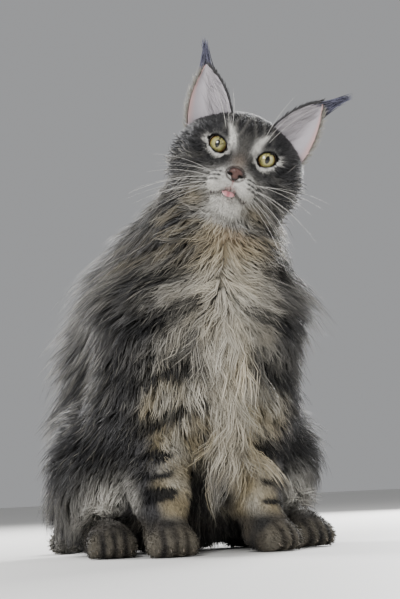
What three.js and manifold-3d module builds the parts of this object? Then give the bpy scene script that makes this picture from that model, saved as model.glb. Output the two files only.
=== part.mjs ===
// A long-haired kitten of a large forest breed, sitting upright with its head tilted, life size.
// Millimetres, +Z up. The kitten faces -Y and its left side is +X.
// The origin is the middle of the small flat under the rump, on the floor that it sits on.
//
// The body is one smooth surface round a few balls and tapering rods. Planes part it into its named nodes.
// The long coat is flat, tapered locks that are rooted in that surface and bend along its lie.
import * as THREE from 'three';
import { mergeVertices } from 'three/addons/utils/BufferGeometryUtils.js';
import Module from 'manifold-3d';

const wasm = await Module();
wasm.setup();

// Driving dimensions
const gap = 0.3; // between parts that touch
const coreShare = 0.42; // how far into the long coat the core under the locks reaches
const eyeRadius = 9.5;
const eyeSide = 18.5; // from the middle of the face to the middle of each eye
const lidThickness = 1.5;
const earThickness = 2.4;
const lockSpacing = 25; // between the roots of neighbouring locks
const lockWidth = 21;
const seed = 11;

// The head's place is the point midway between the eyes. Its turns are in degrees.
const headPlace = new THREE.Vector3(18.5, -170, 307);
const headYaw = 15; // towards the kitten's right
const headPitch = 0; // nose up
const headRoll = 21; // crown towards the kitten's left

const radians = THREE.MathUtils.degToRad;
const vector = (p) => (p.isVector3 ? p.clone() : new THREE.Vector3(...p));

// The head's own frame: X to the kitten's left, Y backwards, Z to its crown
function makeHeadFrame() {
  const [yaw, pitch, roll] = [headYaw, headPitch, headRoll].map(radians);
  const forward = new THREE.Vector3(-Math.sin(yaw) * Math.cos(pitch), -Math.cos(yaw) * Math.cos(pitch), Math.sin(pitch));
  const upright = new THREE.Vector3(0, 0, 1).addScaledVector(forward, -forward.z).normalize();
  const left = new THREE.Vector3().crossVectors(upright, forward);
  const up = upright.clone().multiplyScalar(Math.cos(roll)).addScaledVector(left, Math.sin(roll));
  const side = left.clone().multiplyScalar(Math.cos(roll)).addScaledVector(upright, -Math.sin(roll));
  return new THREE.Matrix4().makeBasis(side, forward.clone().negate(), up).setPosition(headPlace);
}
const headFrame = makeHeadFrame();
const onHead = (x, y, z) => new THREE.Vector3(x, y, z).applyMatrix4(headFrame);
const alongHead = (x, y, z) => new THREE.Vector3(x, y, z).transformDirection(headFrame);

// Forms. A rod is a line between two balls; an oval is a ball stretched to three radii in its frame.
// coat is how far the tips of the hair stand off the skin, or a pair where it changes from end to end,
// and lie the way the hair runs.
function rod(from, to, startRadius, endRadius, coat, lie) {
  const start = vector(from);
  const along = vector(to).sub(start);
  const square = along.lengthSq();
  const [startCoat, endCoat] = [coat].flat().length > 1 ? coat : [coat, coat];
  return {
    coat: startCoat,
    lie: (lie ? vector(lie) : along.clone()).normalize(),
    distance(p) {
      const [x, y, z] = [p.x - start.x, p.y - start.y, p.z - start.z];
      const share = Math.min(1, Math.max(0, (x * along.x + y * along.y + z * along.z) / square));
      this.coat = startCoat + (endCoat - startCoat) * share;
      return Math.hypot(x - along.x * share, y - along.y * share, z - along.z * share)
        - startRadius - (endRadius - startRadius) * share;
    },
  };
}

function oval(frame, middle, radii, coat, lie = [0, 1, 0]) {
  const inverse = frame.clone().invert();
  const local = new THREE.Vector3();
  return {
    coat,
    lie: vector(lie).transformDirection(frame),
    distance(p) {
      local.copy(p).applyMatrix4(inverse);
      const [x, y, z] = [(local.x - middle[0]) / radii[0], (local.y - middle[1]) / radii[1], (local.z - middle[2]) / radii[2]];
      const size = Math.hypot(x, y, z);
      const slope = Math.hypot(x / radii[0], y / radii[1], z / radii[2]);
      return slope < 1e-9 ? -Math.min(...radii) : (size * (size - 1)) / slope;
    },
  };
}

// Trunk, from the rump to the top of the neck: the back, then the belly and chest, then the neck
const trunkForms = [
  rod([0, 4, 46], [0, -4, 92], 46, 44, [36, 44], [0, 0.6, -0.8]),
  rod([0, -4, 92], [0, -22, 140], 44, 42, [44, 54], [0, 0.5, -0.86]),
  rod([0, -22, 140], [2, -54, 192], 42, 35, [54, 46], [0, 0.45, -0.9]),
  rod([2, -54, 192], [6, -82, 226], 35, 31, [46, 30], [0, 0.45, -0.9]),
  rod([0, -60, 110], [0, -76, 150], 36, 40, 24, [0, -0.1, -1]),
  rod([0, -76, 150], [3, -92, 196], 40, 36, [24, 30], [0, -0.15, -1]),
  rod([0, -106, 176], [-3, -106, 126], 27, 20, [30, 26], [0, -0.1, -1]),
  rod([4, -90, 208], [12, -122, 258], 34, 29, [30, 24], [0, 0.1, -1]),
];

// Hind legs. side is -1 on the kitten's right and 1 on its left; turn is degrees outwards.
const hindLegs = [
  { name: 'right', side: -1, paw: [-79, -86], turn: -4 },
  { name: 'left', side: 1, paw: [84, -84], turn: 14 },
];
function hindLegForms({ side, paw }) {
  return [
    rod([side * 26, 0, 78], [side * 55, -48, 70], 41, 26, 34, [side * 0.25, 0.45, -0.86]),
    rod([side * 55, -48, 70], [side * 62, -2, 30], 26, 17, 34, [side * 0.2, 0.3, -0.93]),
    rod([side * 60, 2, 16], [paw[0], paw[1] + 18, 15], 11, 12, 6, [0, -1, -0.2]),
  ];
}

// Forelegs
const foreLegs = [
  { name: 'right', side: -1, elbow: [-46, -86, 114], wrist: [-45, -118, 46], paw: [-45, -136], turn: -3 },
  { name: 'left', side: 1, elbow: [40, -88, 114], wrist: [28, -118, 46], paw: [36, -136], turn: 30 },
];
function foreLegForms({ side, elbow, wrist, paw }) {
  return [
    rod([side * 34, -100, 172], elbow, 27, 20, 24, [side * 0.15, 0.25, -0.96]),
    rod(elbow, wrist, 20, 14, 15, [side * 0.1, 0.45, -0.9]),
    rod(wrist, [paw[0], paw[1] + 8, 22], 14, 14, 6, [0, -0.2, -1]),
  ];
}

// A paw: a low rounded foot with four toes, in a frame of its own that turns outwards
function pawForms({ paw: [x, y], turn }) {
  const frame = new THREE.Matrix4().makeRotationZ(radians(turn)).setPosition(x, y, 0);
  const toes = [-13.5, -4.8, 4.8, 13.5].map((across) =>
    oval(frame, [across, -17 + Math.abs(across) * 0.45, 8.5], [5.6, 11, 9], 3, [0, -1, -0.3]));
  return [oval(frame, [0, 0, 14], [17, 20, 14], 4, [0, -1, -0.3]), ...toes];
}

// Tail, laid on the floor behind the kitten and curled to its right
const tailPath = new THREE.CatmullRomCurve3(
  [[0, 30, 46], [12, 74, 27], [17, 110, 16], [-6, 134, 13.5], [-40, 128, 12], [-62, 106, 11], [-76, 80, 9.5]].map(vector));
const tailRadius = (share) => 12 - 7 * share;
function tailForms(from, to, steps) {
  const share = (i) => from + ((to - from) * i) / steps;
  return Array.from({ length: steps }, (_, i) =>
    rod(tailPath.getPointAt(share(i)), tailPath.getPointAt(share(i + 1)), tailRadius(share(i)), tailRadius(share(i + 1)), 27 - 14 * share(i)));
}

// Skull, brow, temples, cheeks, muzzle, chin, throat and nape
const skullForms = [
  oval(headFrame, [0, 31, 5], [34, 34, 27], 4, [0, 1, -0.1]),
  oval(headFrame, [0, 9, 8], [23, 15, 14], 3, [0, 0.8, 0.5]),
  ...[-1, 1].flatMap((side) => [
    oval(headFrame, [side * 26, 30, 2], [15, 16, 14], 5, [side * 0.3, 0.95, 0]),
    oval(headFrame, [side * 24, 22, -14], [17, 19, 19], 8, [side * 0.5, 0.8, -0.35]),
    oval(headFrame, [side * 8, -18, -30], [9, 10.5, 8.5], 2, [side * 0.6, 0.7, -0.3]),
  ]),
  rod(onHead(0, -2, -14), onHead(0, -15, -24), 14, 11, 2),
  rod(onHead(0, 2, 6), onHead(0, -22, -16), 9.5, 6, 1.5),
  rod(onHead(0, 16, -35), onHead(0, -8, -42), 13, 9, 5),
  rod(onHead(0, 36, -10), [12, -122, 258], 27, 29, [6, 22], [0, 0.1, -1]),
  rod(onHead(0, 44, -4), [6, -88, 230], 22, 31, [6, 32], [0, 0.6, -0.8]),
];

const bodyForms = [
  ...trunkForms,
  ...skullForms,
  ...hindLegs.flatMap(hindLegForms),
  ...foreLegs.flatMap(foreLegForms),
  ...[...hindLegs, ...foreLegs].flatMap(pawForms),
  ...tailForms(0, 1, 12),
];

// The coat thins out where the body presses it to the floor. A long coat counts only as far as share.
const longCoat = 14;
const squashHeight = 46;
function coatReach(form, p, share) {
  if (form.coat < longCoat) return form.coat * Math.min(1, 0.4 + p.z / 30);
  return form.coat * share * Math.min(1, 0.1 + (0.9 * p.z) / squashHeight);
}

// The distance to the body's surface, where its forms melt into each other
function bodyDistance(share, blend = 14) {
  return (p) => {
    let least = Infinity;
    for (const form of bodyForms) {
      const d = form.distance(p) - coatReach(form, p, share);
      if (least === Infinity) {
        least = d;
        continue;
      }
      const width = Math.min(blend, form.coat < 5 ? 5 : blend);
      const mix = Math.max(0, width - Math.abs(d - least)) / width;
      least = Math.min(d, least) - (mix * mix * width) / 4;
    }
    return least;
  };
}

// Where the corners of a face between cells are in and out by turns, the net would touch itself there.
// The nearer of its two outer corners moves inside, until no such face is left.
const sides = [[1, 0, 0], [0, 1, 0], [0, 0, 1]];
function untangle(values, count, index) {
  for (let changed = true; changed;) {
    changed = false;
    for (let k = 0; k < count[2] - 1; k++) {
      for (let j = 0; j < count[1] - 1; j++) {
        for (let i = 0; i < count[0] - 1; i++) {
          for (let axis = 0; axis < 3; axis++) {
            const [u, v] = [sides[(axis + 1) % 3], sides[(axis + 2) % 3]];
            const face = [index(i, j, k), index(i + u[0], j + u[1], k + u[2]),
              index(i + u[0] + v[0], j + u[1] + v[1], k + u[2] + v[2]), index(i + v[0], j + v[1], k + v[2])];
            const inside = face.map((at) => values[at] < 0);
            if (inside[0] !== inside[2] || inside[1] !== inside[3] || inside[0] === inside[1]) continue;
            const outside = face.filter((at) => values[at] >= 0);
            values[values[outside[0]] < values[outside[1]] ? outside[0] : outside[1]] = -0.01;
            changed = true;
          }
        }
      }
    }
  }
}

// A net over a surface: one point in each cell that the surface crosses, and two triangles for each
// edge between cells that it crosses. What lies outside the box is cut off.
function netOf(distance, low, high, cell) {
  const start = low.map((v) => Math.floor(v / cell) * cell);
  const count = [0, 1, 2].map((k) => Math.ceil((high[k] - start[k]) / cell) + 3);
  const index = (i, j, k) => (k * count[1] + j) * count[0] + i;
  const place = (k, i) => start[k] + (i - 1) * cell;
  const values = new Float64Array(count[0] * count[1] * count[2]).fill(cell);
  const p = new THREE.Vector3();
  for (let k = 1; k < count[2] - 1; k++) {
    for (let j = 1; j < count[1] - 1; j++) {
      for (let i = 1; i < count[0] - 1; i++) {
        values[index(i, j, k)] = distance(p.set(place(0, i), place(1, j), place(2, k))) || 1e-6;
      }
    }
  }
  untangle(values, count, index);
  const corners = [0, 1, 2, 3, 4, 5, 6, 7].map((c) => [c & 1, (c >> 1) & 1, c >> 2]);
  const edges = [[0, 1], [2, 3], [4, 5], [6, 7], [0, 2], [1, 3], [4, 6], [5, 7], [0, 4], [1, 5], [2, 6], [3, 7]];
  const points = [];
  const pointOf = new Map();
  for (let k = 0; k < count[2] - 1; k++) {
    for (let j = 0; j < count[1] - 1; j++) {
      for (let i = 0; i < count[0] - 1; i++) {
        const at = corners.map(([x, y, z]) => values[index(i + x, j + y, k + z)]);
        const inside = at.filter((v) => v < 0).length;
        if (inside === 0 || inside === 8) continue;
        const sum = [0, 0, 0];
        let crossings = 0;
        for (const [a, b] of edges) {
          if (at[a] < 0 === at[b] < 0) continue;
          const share = THREE.MathUtils.clamp(at[a] / (at[a] - at[b]), 0.05, 0.95);
          for (let n = 0; n < 3; n++) sum[n] += corners[a][n] + (corners[b][n] - corners[a][n]) * share;
          crossings++;
        }
        pointOf.set(index(i, j, k), points.length / 3);
        points.push(place(0, i + sum[0] / crossings), place(1, j + sum[1] / crossings), place(2, k + sum[2] / crossings));
      }
    }
  }
  const faces = [];
  for (let k = 0; k < count[2] - 1; k++) {
    for (let j = 0; j < count[1] - 1; j++) {
      for (let i = 0; i < count[0] - 1; i++) {
        const here = values[index(i, j, k)] < 0;
        sides.forEach(([x, y, z], axis) => {
          if (here === values[index(i + x, j + y, k + z)] < 0) return;
          const [u, v] = [sides[(axis + 1) % 3], sides[(axis + 2) % 3]];
          const cellAt = (a, b) => pointOf.get(index(i - a * u[0] - b * v[0], j - a * u[1] - b * v[1], k - a * u[2] - b * v[2]));
          const [a, b, c, d] = [cellAt(1, 1), cellAt(0, 1), cellAt(0, 0), cellAt(1, 0)];
          faces.push(...(here ? [a, b, c, a, c, d] : [a, c, b, a, d, c]));
        });
      }
    }
  }
  const geometry = new THREE.BufferGeometry();
  geometry.setAttribute('position', new THREE.Float32BufferAttribute(points, 3));
  geometry.setIndex(faces);
  return geometry;
}

// Between geometry and solids that can be joined and cut
function solid(geometry, matrix = null) {
  const bare = geometry.clone();
  bare.deleteAttribute('normal');
  bare.deleteAttribute('uv');
  if (matrix) bare.applyMatrix4(matrix);
  const merged = mergeVertices(bare, 1e-4);
  return new wasm.Manifold(new wasm.Mesh({
    numProp: 3,
    vertProperties: new Float32Array(merged.attributes.position.array),
    triVerts: new Uint32Array(merged.index.array),
  }));
}
function geometryOf(body) {
  const mesh = body.getMesh();
  const geometry = new THREE.BufferGeometry();
  geometry.setAttribute('position', new THREE.Float32BufferAttribute(mesh.vertProperties, 3));
  geometry.setIndex(Array.from(mesh.triVerts));
  return geometry;
}
const largest = (body) => body.decompose().reduce((a, b) => (b.volume() > a.volume() ? b : a));

// A region is all that lies on the kept side of each of its planes, given as a point and a direction
const everything = solid(new THREE.BoxGeometry(1200, 1200, 1200));
function regionOf(planes, grow = 0) {
  return planes.reduce((body, [point, direction]) => {
    const normal = vector(direction).normalize();
    return body.trimByPlane(normal.toArray(), normal.dot(vector(point)) - grow);
  }, everything);
}
const floor = [[0, 0, 0], [0, 0, 1]];

// The nodes that the planes part the body into. An earlier one takes its region before a later one.
const fur = { slate: 0x4c4f55, grey: 0x6c6e73, silver: 0x8d8c8b, cream: 0xcfc4b2, beige: 0xa89a86 };
const headPlane = [onHead(0, -10, -56), alongHead(0, -0.66, 0.75)];
const earPlane = (side) => [onHead(side * 31, 27.5, 19), alongHead(side * 0.62, 0.05, 0.78)];
const earBounds = (side) => [[onHead(side * 8, 0, 0), alongHead(side, 0, 0)], [onHead(0, 8, 0), alongHead(0, 1, 0)],
  [onHead(0, 50, 0), alongHead(0, -1, 0)]];
const regions = [
  ...[-1, 1].map((side) => ({ planes: [earPlane(side), ...earBounds(side)] })),
  { name: 'head', planes: [headPlane], colour: fur.slate, cell: 7, low: [-60, -245, 230], high: [100, -60, 370] },
  ...hindLegs.map(({ name, side }) => ({
    name: `hind_paw_${name}`, planes: [floor, [[0, 0, 34], [0, 0, -1]], [[0, -62, 0], [0, -1, 0]], [[side * 62, -110, 0], [side * 0.75, 0.66, 0]]],
    colour: fur.grey, cell: 7, low: [side < 0 ? -115 : 40, -130, -8], high: [side < 0 ? -40 : 120, -50, 50],
  })),
  ...foreLegs.map(({ name, side, wrist }) => ({
    name: `forepaw_${name}`, planes: [floor, [[0, 0, 32], [0, 0, -1]], [[0, -100, 0], [0, -1, 0]]].concat([[[side * 6 - 5, 0, 0], [side, 0, 0]]]),
    colour: fur.grey, cell: 7, low: [wrist[0] - 45, -190, -8], high: [wrist[0] + 55, -90, 45],
  })),
  ...foreLegs.map(({ name, side, wrist }) => ({
    name: `forearm_${name}`,
    planes: [[[0, 0, 31], [0, 0, 1]], [[0, -84, 100], [0, 0.35, -1]], [[0, -76, 60], [0, -1, -0.25]], [[side * 6 - 5, 0, 0], [side, 0, 0]],
      [[side * 64 - 6, -104, 0], [-side * 0.94, -0.34, 0]]],
    colour: fur.silver, cell: 11, low: [wrist[0] - 60, -165, 20], high: [wrist[0] + 60, -40, 135],
  })),
  ...foreLegs.map(({ name, side }) => ({
    name: `upper_arm_${name}`,
    planes: [[[side * 24, -100, 150], [side, -0.2, -0.25]], [[0, -58, 130], [0, -1, 0]], [[0, 0, 200], [0, 0.2, -1]], [[0, -84, 99], [0, -0.35, 1]],
      [[0, -68, 98], [0, -0.75, 0.66]]],
    colour: fur.slate, cell: 16, low: [side < 0 ? -110 : 5, -170, 70], high: [side < 0 ? -5 : 110, -40, 230],
  })),
  ...hindLegs.map(({ name, side }) => ({
    name: `hind_foot_${name}`,
    planes: [floor, [[0, 0, 24], [0, 0, -1]], [[side * 44, 0, 0], [side, 0, 0]], [[0, 30, 0], [0, -1, 0]]],
    colour: fur.grey, cell: 7, low: [side < 0 ? -130 : 30, -80, -8], high: [side < 0 ? -30 : 135, 50, 40],
  })),
  ...hindLegs.map(({ name, side }) => ({
    name: `thigh_${name}`,
    planes: [floor, [[side * 26, -20, 90], [side, -0.35, -0.3]], [[0, -20, 150], [side * 0.2, 0, -1]], [[0, 62, 40], [0, -1, 0]]],
    colour: fur.grey, cell: 17, low: [side < 0 ? -150 : 5, -140, -8], high: [side < 0 ? -5 : 150, 80, 170],
  })),
  { name: 'neck', planes: [[[3, -98, 214], [0.1, -0.35, 0.93]]], colour: fur.silver, cell: 16, low: [-90, -210, 170], high: [110, -20, 330] },
  { name: 'chest', planes: [[[0, -70, 148], [0, -0.78, 0.63]]], colour: fur.cream, cell: 17, low: [-110, -190, 60], high: [110, 0, 270] },
  { name: 'tail_base', planes: [floor, [[0, 64, 40], [0, 1, 0]], [[0, 64, 78], [0, 0.5, -0.87]], [[-3, 130, 0], [0.95, -0.3, 0]]], colour: fur.slate, cell: 11,
    low: [-90, 40, -11], high: [90, 190, 100] },
  { name: 'tail_middle', planes: [floor, [[0, 80, 40], [0, 1, 0]], [[-60, 112, 0], [0.5, 0.86, 0]]], colour: fur.grey, cell: 10,
    low: [-110, 60, -10], high: [40, 190, 90] },
  { name: 'tail_tip', planes: [floor, [[0, 52, 0], [0, 1, 0]], [[-30, 0, 0], [-1, 0, 0]], [[0, 52, 44], [0, 0, -1]]], colour: fur.slate, cell: 8,
    low: [-130, 30, -8], high: [0, 160, 60] },
  { name: 'rump', planes: [floor, [[0, -24, 98], [0, 0.45, -0.89]]], colour: fur.grey, cell: 17, low: [-110, -100, -8], high: [110, 110, 150] },
  { name: 'belly', planes: [], colour: fur.grey, cell: 17, low: [-120, -150, 30], high: [120, 60, 230] },
];

// Parts the body: each node is its stretch of the surface, less the regions that came before it
const surface = bodyDistance(1);
const nodes = {};
const taken = [];
for (const { name, planes, cell, low, high } of regions) {
  if (cell) {
    const start = solid(netOf(surface, low, high, cell)).intersect(regionOf(planes));
    nodes[name] = largest(taken.reduce((body, others) => body.subtract(regionOf(others, gap)), start));
  }
  taken.push(planes);
}

// A closed sheet over rows of points, as thick as its function says at each row
function sheetOf(rows, thicknessAt) {
  const [height, width] = [rows.length, rows[0].length];
  const at = (r, c) => rows[THREE.MathUtils.clamp(r, 0, height - 1)][THREE.MathUtils.clamp(c, 0, width - 1)];
  const front = [];
  const back = [];
  for (let r = 0; r < height; r++) {
    for (let c = 0; c < width; c++) {
      const along = at(r + 1, c).clone().sub(at(r - 1, c));
      const across = at(r, c + 1).clone().sub(at(r, c - 1));
      const normal = across.cross(along).normalize().multiplyScalar(thicknessAt(r) / 2);
      front.push(...at(r, c).clone().add(normal).toArray());
      back.push(...at(r, c).clone().sub(normal).toArray());
    }
  }
  const count = height * width;
  const id = (r, c) => r * width + c;
  const faces = [];
  for (let r = 0; r < height - 1; r++) {
    for (let c = 0; c < width - 1; c++) {
      const [a, b, d, e] = [id(r, c), id(r, c + 1), id(r + 1, c), id(r + 1, c + 1)];
      faces.push(a, b, e, a, e, d, a + count, e + count, b + count, a + count, d + count, e + count);
    }
  }
  const rim = [];
  for (let c = 0; c < width; c++) rim.push(id(0, c));
  for (let r = 1; r < height; r++) rim.push(id(r, width - 1));
  for (let c = width - 2; c >= 0; c--) rim.push(id(height - 1, c));
  for (let r = height - 2; r > 0; r--) rim.push(id(r, 0));
  rim.forEach((a, i) => {
    const b = rim[(i + 1) % rim.length];
    faces.push(a, a + count, b + count, a, b + count, b);
  });
  const geometry = new THREE.BufferGeometry();
  geometry.setAttribute('position', new THREE.Float32BufferAttribute([...front, ...back], 3));
  geometry.setIndex(faces);
  return geometry;
}

// Ears: a cup whose two edges run from the base to the tip, and a tuft that tapers on from there.
// Points are in the head's frame, for an ear on the kitten's left.
const ears = [
  { name: 'ear_right', side: -1, tuft: [53, 31, 74] },
  { name: 'ear_left', side: 1, tuft: [67, 36, 68] },
];
const earTip = new THREE.Vector3(47, 30, 57);
const earInner = new THREE.QuadraticBezierCurve3(new THREE.Vector3(13, 23, 24), new THREE.Vector3(27, 22, 50), earTip);
const earOuter = new THREE.QuadraticBezierCurve3(new THREE.Vector3(46, 33, -3), new THREE.Vector3(56, 34, 26), earTip);
const earRows = [0, 0.2, 0.4, 0.6, 0.8, 0.96];
const earColumns = 6;
const cupDepth = 15;
function earSheet({ side, tuft }) {
  const rows = earRows.map((t) => Array.from({ length: earColumns + 1 }, (_, c) => {
    const s = c / earColumns;
    const point = earInner.getPoint(t).lerp(earOuter.getPoint(t), s);
    point.y += cupDepth * (1 - t) ** 0.7 * (1 - (2 * s - 1) ** 2) - 5 * (1 - t);
    return onHead(side * point.x, point.y, point.z);
  }));
  const [tipStart, tipEnd] = [earTip, new THREE.Vector3(...tuft)];
  for (const [share, half] of [[0.3, 1.6], [0.65, 1.1], [1, 0.5]]) {
    rows.push(Array.from({ length: earColumns + 1 }, (_, c) => {
      const point = tipStart.clone().lerp(tipEnd, share);
      return onHead(side * (point.x + ((2 * c) / earColumns - 1) * half), point.y, point.z);
    }));
  }
  if (side < 0) rows.forEach((row) => row.reverse());
  return solid(sheetOf(rows, (r) => (r < earRows.length ? earThickness : 1.2)));
}
for (const ear of ears) {
  const dome = solid(netOf(bodyDistance(1), [-60, -245, 250], [130, -60, 380], 6));
  nodes[ear.name] = largest(earSheet(ear).add(dome).intersect(regionOf([earPlane(ear.side)])).intersect(
    regionOf([...earBounds(ear.side).slice(1), [onHead(ear.side * 4, 0, 0), alongHead(ear.side, 0, 0)]], 0)));
}

// Eyes, each in a socket under lids that are open in an almond
const eyes = [{ name: 'eye_right', side: -1 }, { name: 'eye_left', side: 1 }];
const eyePlace = (side) => [side * eyeSide, 5, 0];
const eyeDiverge = 10; // degrees
const eyeBall = (side, radius, columns = 16, rows = 10) =>
  solid(new THREE.SphereGeometry(radius, columns, rows).rotateX(Math.PI / 2).translate(...eyePlace(side)), headFrame);
function eyeOpening(side) {
  const almond = new THREE.Shape();
  almond.moveTo(-7.6 * side, -3.4);
  almond.quadraticCurveTo(-6 * side, 6.4, 0.5 * side, 6.4);
  almond.quadraticCurveTo(6 * side, 6.4, 7.6 * side, 2);
  almond.quadraticCurveTo(5.5 * side, -6.4, -0.5 * side, -6.4);
  almond.quadraticCurveTo(-5 * side, -6.2, -7.6 * side, -3.4);
  const prism = new THREE.ExtrudeGeometry(almond, { depth: 20, bevelEnabled: false, curveSegments: 5 });
  prism.rotateX(Math.PI / 2);
  const turn = new THREE.Matrix4().makeRotationZ(side * radians(eyeDiverge));
  const place = new THREE.Matrix4().makeTranslation(side * eyeSide, 5, 0).multiply(turn);
  return solid(prism, headFrame.clone().multiply(place));
}
for (const { name, side } of eyes) {
  nodes[name] = eyeBall(side, eyeRadius);
  nodes.head = nodes.head.add(eyeBall(side, eyeRadius + gap + lidThickness)).subtract(eyeOpening(side))
    .subtract(eyeBall(side, eyeRadius + gap));
}

// Nose leather, with a nostril on each side
function noseSolid(grow = 0) {
  const forms = [oval(headFrame, [0, -28.5, -21.5], [6.6, 4.6, 4.4], 0),
    ...[-1, 1].map((side) => oval(headFrame, [side * 4.4, -26.8, -23.2], [3.8, 4, 3.4], 0)),
    oval(headFrame, [0, -28.5, -27], [2.2, 3, 3.6], 0)];
  const distance = (p) => Math.min(...forms.map((form) => form.distance(p))) - grow;
  const [low, high] = [onHead(0, -28, -24), onHead(0, -28, -24)];
  return solid(netOf(distance, low.subScalar(14).toArray(), high.addScalar(14).toArray(), 2.4));
}
function nostril(side) {
  const pit = new THREE.SphereGeometry(1, 8, 6).scale(2.1, 4, 1.3).rotateY(side * 0.5).translate(side * 4.3, -31, -24.2);
  return solid(pit, headFrame);
}
nodes.nose = largest(noseSolid().subtract(nostril(-1)).subtract(nostril(1)));

// The line of the mouth between two soft lips, open in the middle for the tip of the tongue
const mouthLine = new THREE.CatmullRomCurve3([[-16, -9, -40], [-11.5, -18, -40], [-5, -26, -38], [0, -29, -35],
  [5, -26, -38], [11.5, -18, -40], [16, -9, -40]].map(vector));
const mouthOpen = (share) => 1 + 3.2 * Math.max(0, 1 - Math.abs(share - 0.5) / 0.22);
function tubeAlong(curve, radius, steps) {
  const section = new THREE.Shape().absarc(0, 0, radius, 0, 2 * Math.PI);
  return new THREE.ExtrudeGeometry(section, { steps, curveSegments: 3, bevelEnabled: false, extrudePath: curve });
}
function mouthCut() {
  const steps = 16;
  const upper = Array.from({ length: steps + 1 }, (_, i) => mouthLine.getPoint(i / steps));
  const outline = new THREE.Shape([
    ...upper.map((p) => new THREE.Vector2(p.x, p.z + 0.5)),
    ...upper.map((p, i) => new THREE.Vector2(p.x, p.z + 0.5 - mouthOpen(i / steps))).reverse(),
  ]);
  const prism = new THREE.ExtrudeGeometry(outline, { depth: 26, bevelEnabled: false });
  return solid(prism.rotateX(Math.PI / 2).translate(0, -15, 0), headFrame);
}
const tongue = (grow = 0) => solid(new THREE.SphereGeometry(1, 12, 8)
  .scale(4.6 + grow, 10 + grow, 1.5 + grow).rotateX(0.28).translate(-0.6, -24.5, -36.2), headFrame);
nodes.tongue = tongue();
const lips = [0.9, -2].map((drop) => solid(tubeAlong(new THREE.CatmullRomCurve3(
  mouthLine.points.map((p, i) => new THREE.Vector3(p.x, p.y - 0.4, p.z + (i === 3 || drop > 0 ? drop * 0.9 : drop)))), 1.3, 12), headFrame));
nodes.head = largest(lips.reduce((body, lip) => body.add(lip), nodes.head)
  .subtract(mouthCut()).subtract(tongue(gap)).subtract(noseSolid(gap)));

const group = new THREE.Group();
function addNode(name, body, colour, roughness = 0.85) {
  const mesh = new THREE.Mesh(geometryOf(body), new THREE.MeshStandardMaterial({ color: colour, roughness, metalness: 0 }));
  mesh.name = name;
  group.add(mesh);
}
for (const { name, colour } of regions) if (nodes[name]) addNode(name, nodes[name], colour);
for (const { name } of ears) addNode(name, nodes[name], fur.silver);
for (const { name } of eyes) addNode(name, nodes[name], 0xb8a860, 0.1);
addNode('nose', nodes.nose, 0x8a5a50, 0.5);
addNode('tongue', nodes.tongue, 0xd98a8c, 0.4);
export default group;
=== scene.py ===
import math
import bpy
import numpy as np
from mathutils import Matrix
from mathutils.kdtree import KDTree


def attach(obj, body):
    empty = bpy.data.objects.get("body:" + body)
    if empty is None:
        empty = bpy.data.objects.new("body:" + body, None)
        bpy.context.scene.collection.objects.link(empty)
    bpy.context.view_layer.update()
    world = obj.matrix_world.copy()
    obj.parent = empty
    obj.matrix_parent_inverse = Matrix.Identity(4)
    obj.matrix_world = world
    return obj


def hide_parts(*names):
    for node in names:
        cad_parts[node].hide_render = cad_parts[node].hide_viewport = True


# A long-haired silver tabby kitten that sits with its head tilted, life size.
# The shapes are worked out in millimetres and turned to metres when a mesh is made.
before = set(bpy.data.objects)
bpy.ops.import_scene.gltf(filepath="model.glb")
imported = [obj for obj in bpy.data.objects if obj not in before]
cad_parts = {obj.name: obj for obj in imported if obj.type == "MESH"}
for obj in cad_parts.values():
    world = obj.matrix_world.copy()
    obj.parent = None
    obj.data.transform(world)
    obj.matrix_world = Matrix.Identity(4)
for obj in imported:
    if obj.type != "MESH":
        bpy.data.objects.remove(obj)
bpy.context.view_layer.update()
millimetre = 0.001
print("frame loaded")


def linear(hexColour):  # sRGB hex to linear
    channels = np.array([int(hexColour[i:i + 2], 16) / 255 for i in (1, 3, 5)])
    return np.where(channels <= 0.04045, channels / 12.92, ((channels + 0.055) / 1.055) ** 2.4)


def unit(v):
    v = np.asarray(v, float)
    return v / np.maximum(np.linalg.norm(v, axis=-1, keepdims=True), 1e-9)


def sizeOf(v):
    return np.linalg.norm(v, axis=-1)


def smooth(value, low, high):  # 0 below low, 1 above high, eased between
    share = np.clip((value - low) / (high - low), 0, 1)
    return share * share * (3 - 2 * share)


def mixed(first, second, share):
    return first + (second - first) * np.asarray(share)[..., None]


noise = {"waves": 7, "spread": (0.7, 1.5), "phaseSpan": 6.28, "level": 3.2}


def wobble(points, size, seed):  # soft noise from -1 to 1, its lumps about size mm across
    draw = np.random.default_rng(seed)
    aims = unit(draw.normal(size=(noise["waves"], 3))) * (math.pi / size)
    waves = aims * draw.uniform(*noise["spread"], (noise["waves"], 1))
    phases = draw.uniform(0, noise["phaseSpan"], noise["waves"])
    return np.sin(points @ waves.T + phases).sum(axis=-1) / noise["level"]


def banded(run, spacing):  # 0 to 1 and back, once in each spacing
    return 0.5 + 0.5 * np.sin(run * 2 * math.pi / spacing)


def bump2(a, b, width, height):  # a soft spot, 1 in its middle
    return np.exp(-(a / width) ** 2 - (b / height) ** 2)


def gridPoints(*lines):
    return np.stack(np.meshgrid(*lines, indexing="ij"), axis=-1)


# The head's own frame: X to the kitten's left, Y backwards, Z to the crown
headPose = {"place": (18.5, -170, 307), "yaw": 15, "pitch": 0, "roll": 21}


def makeHeadAxes():
    yaw, pitch, roll = [math.radians(headPose[key]) for key in ("yaw", "pitch", "roll")]
    level = math.cos(pitch)
    forward = np.array([-math.sin(yaw) * level, -math.cos(yaw) * level, math.sin(pitch)])
    upright = unit(np.array([0, 0, 1]) - forward * forward[2])
    left = np.cross(upright, forward)
    up = upright * math.cos(roll) + left * math.sin(roll)
    side = left * math.cos(roll) - upright * math.sin(roll)
    return np.array([side, -forward, up])


headPlace = np.array(headPose["place"], float)
headAxes = makeHeadAxes()


def onHead(*p):
    return headPlace + np.asarray(p, float) @ headAxes


def fromHead(points):
    return headPlace + points @ headAxes


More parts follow.
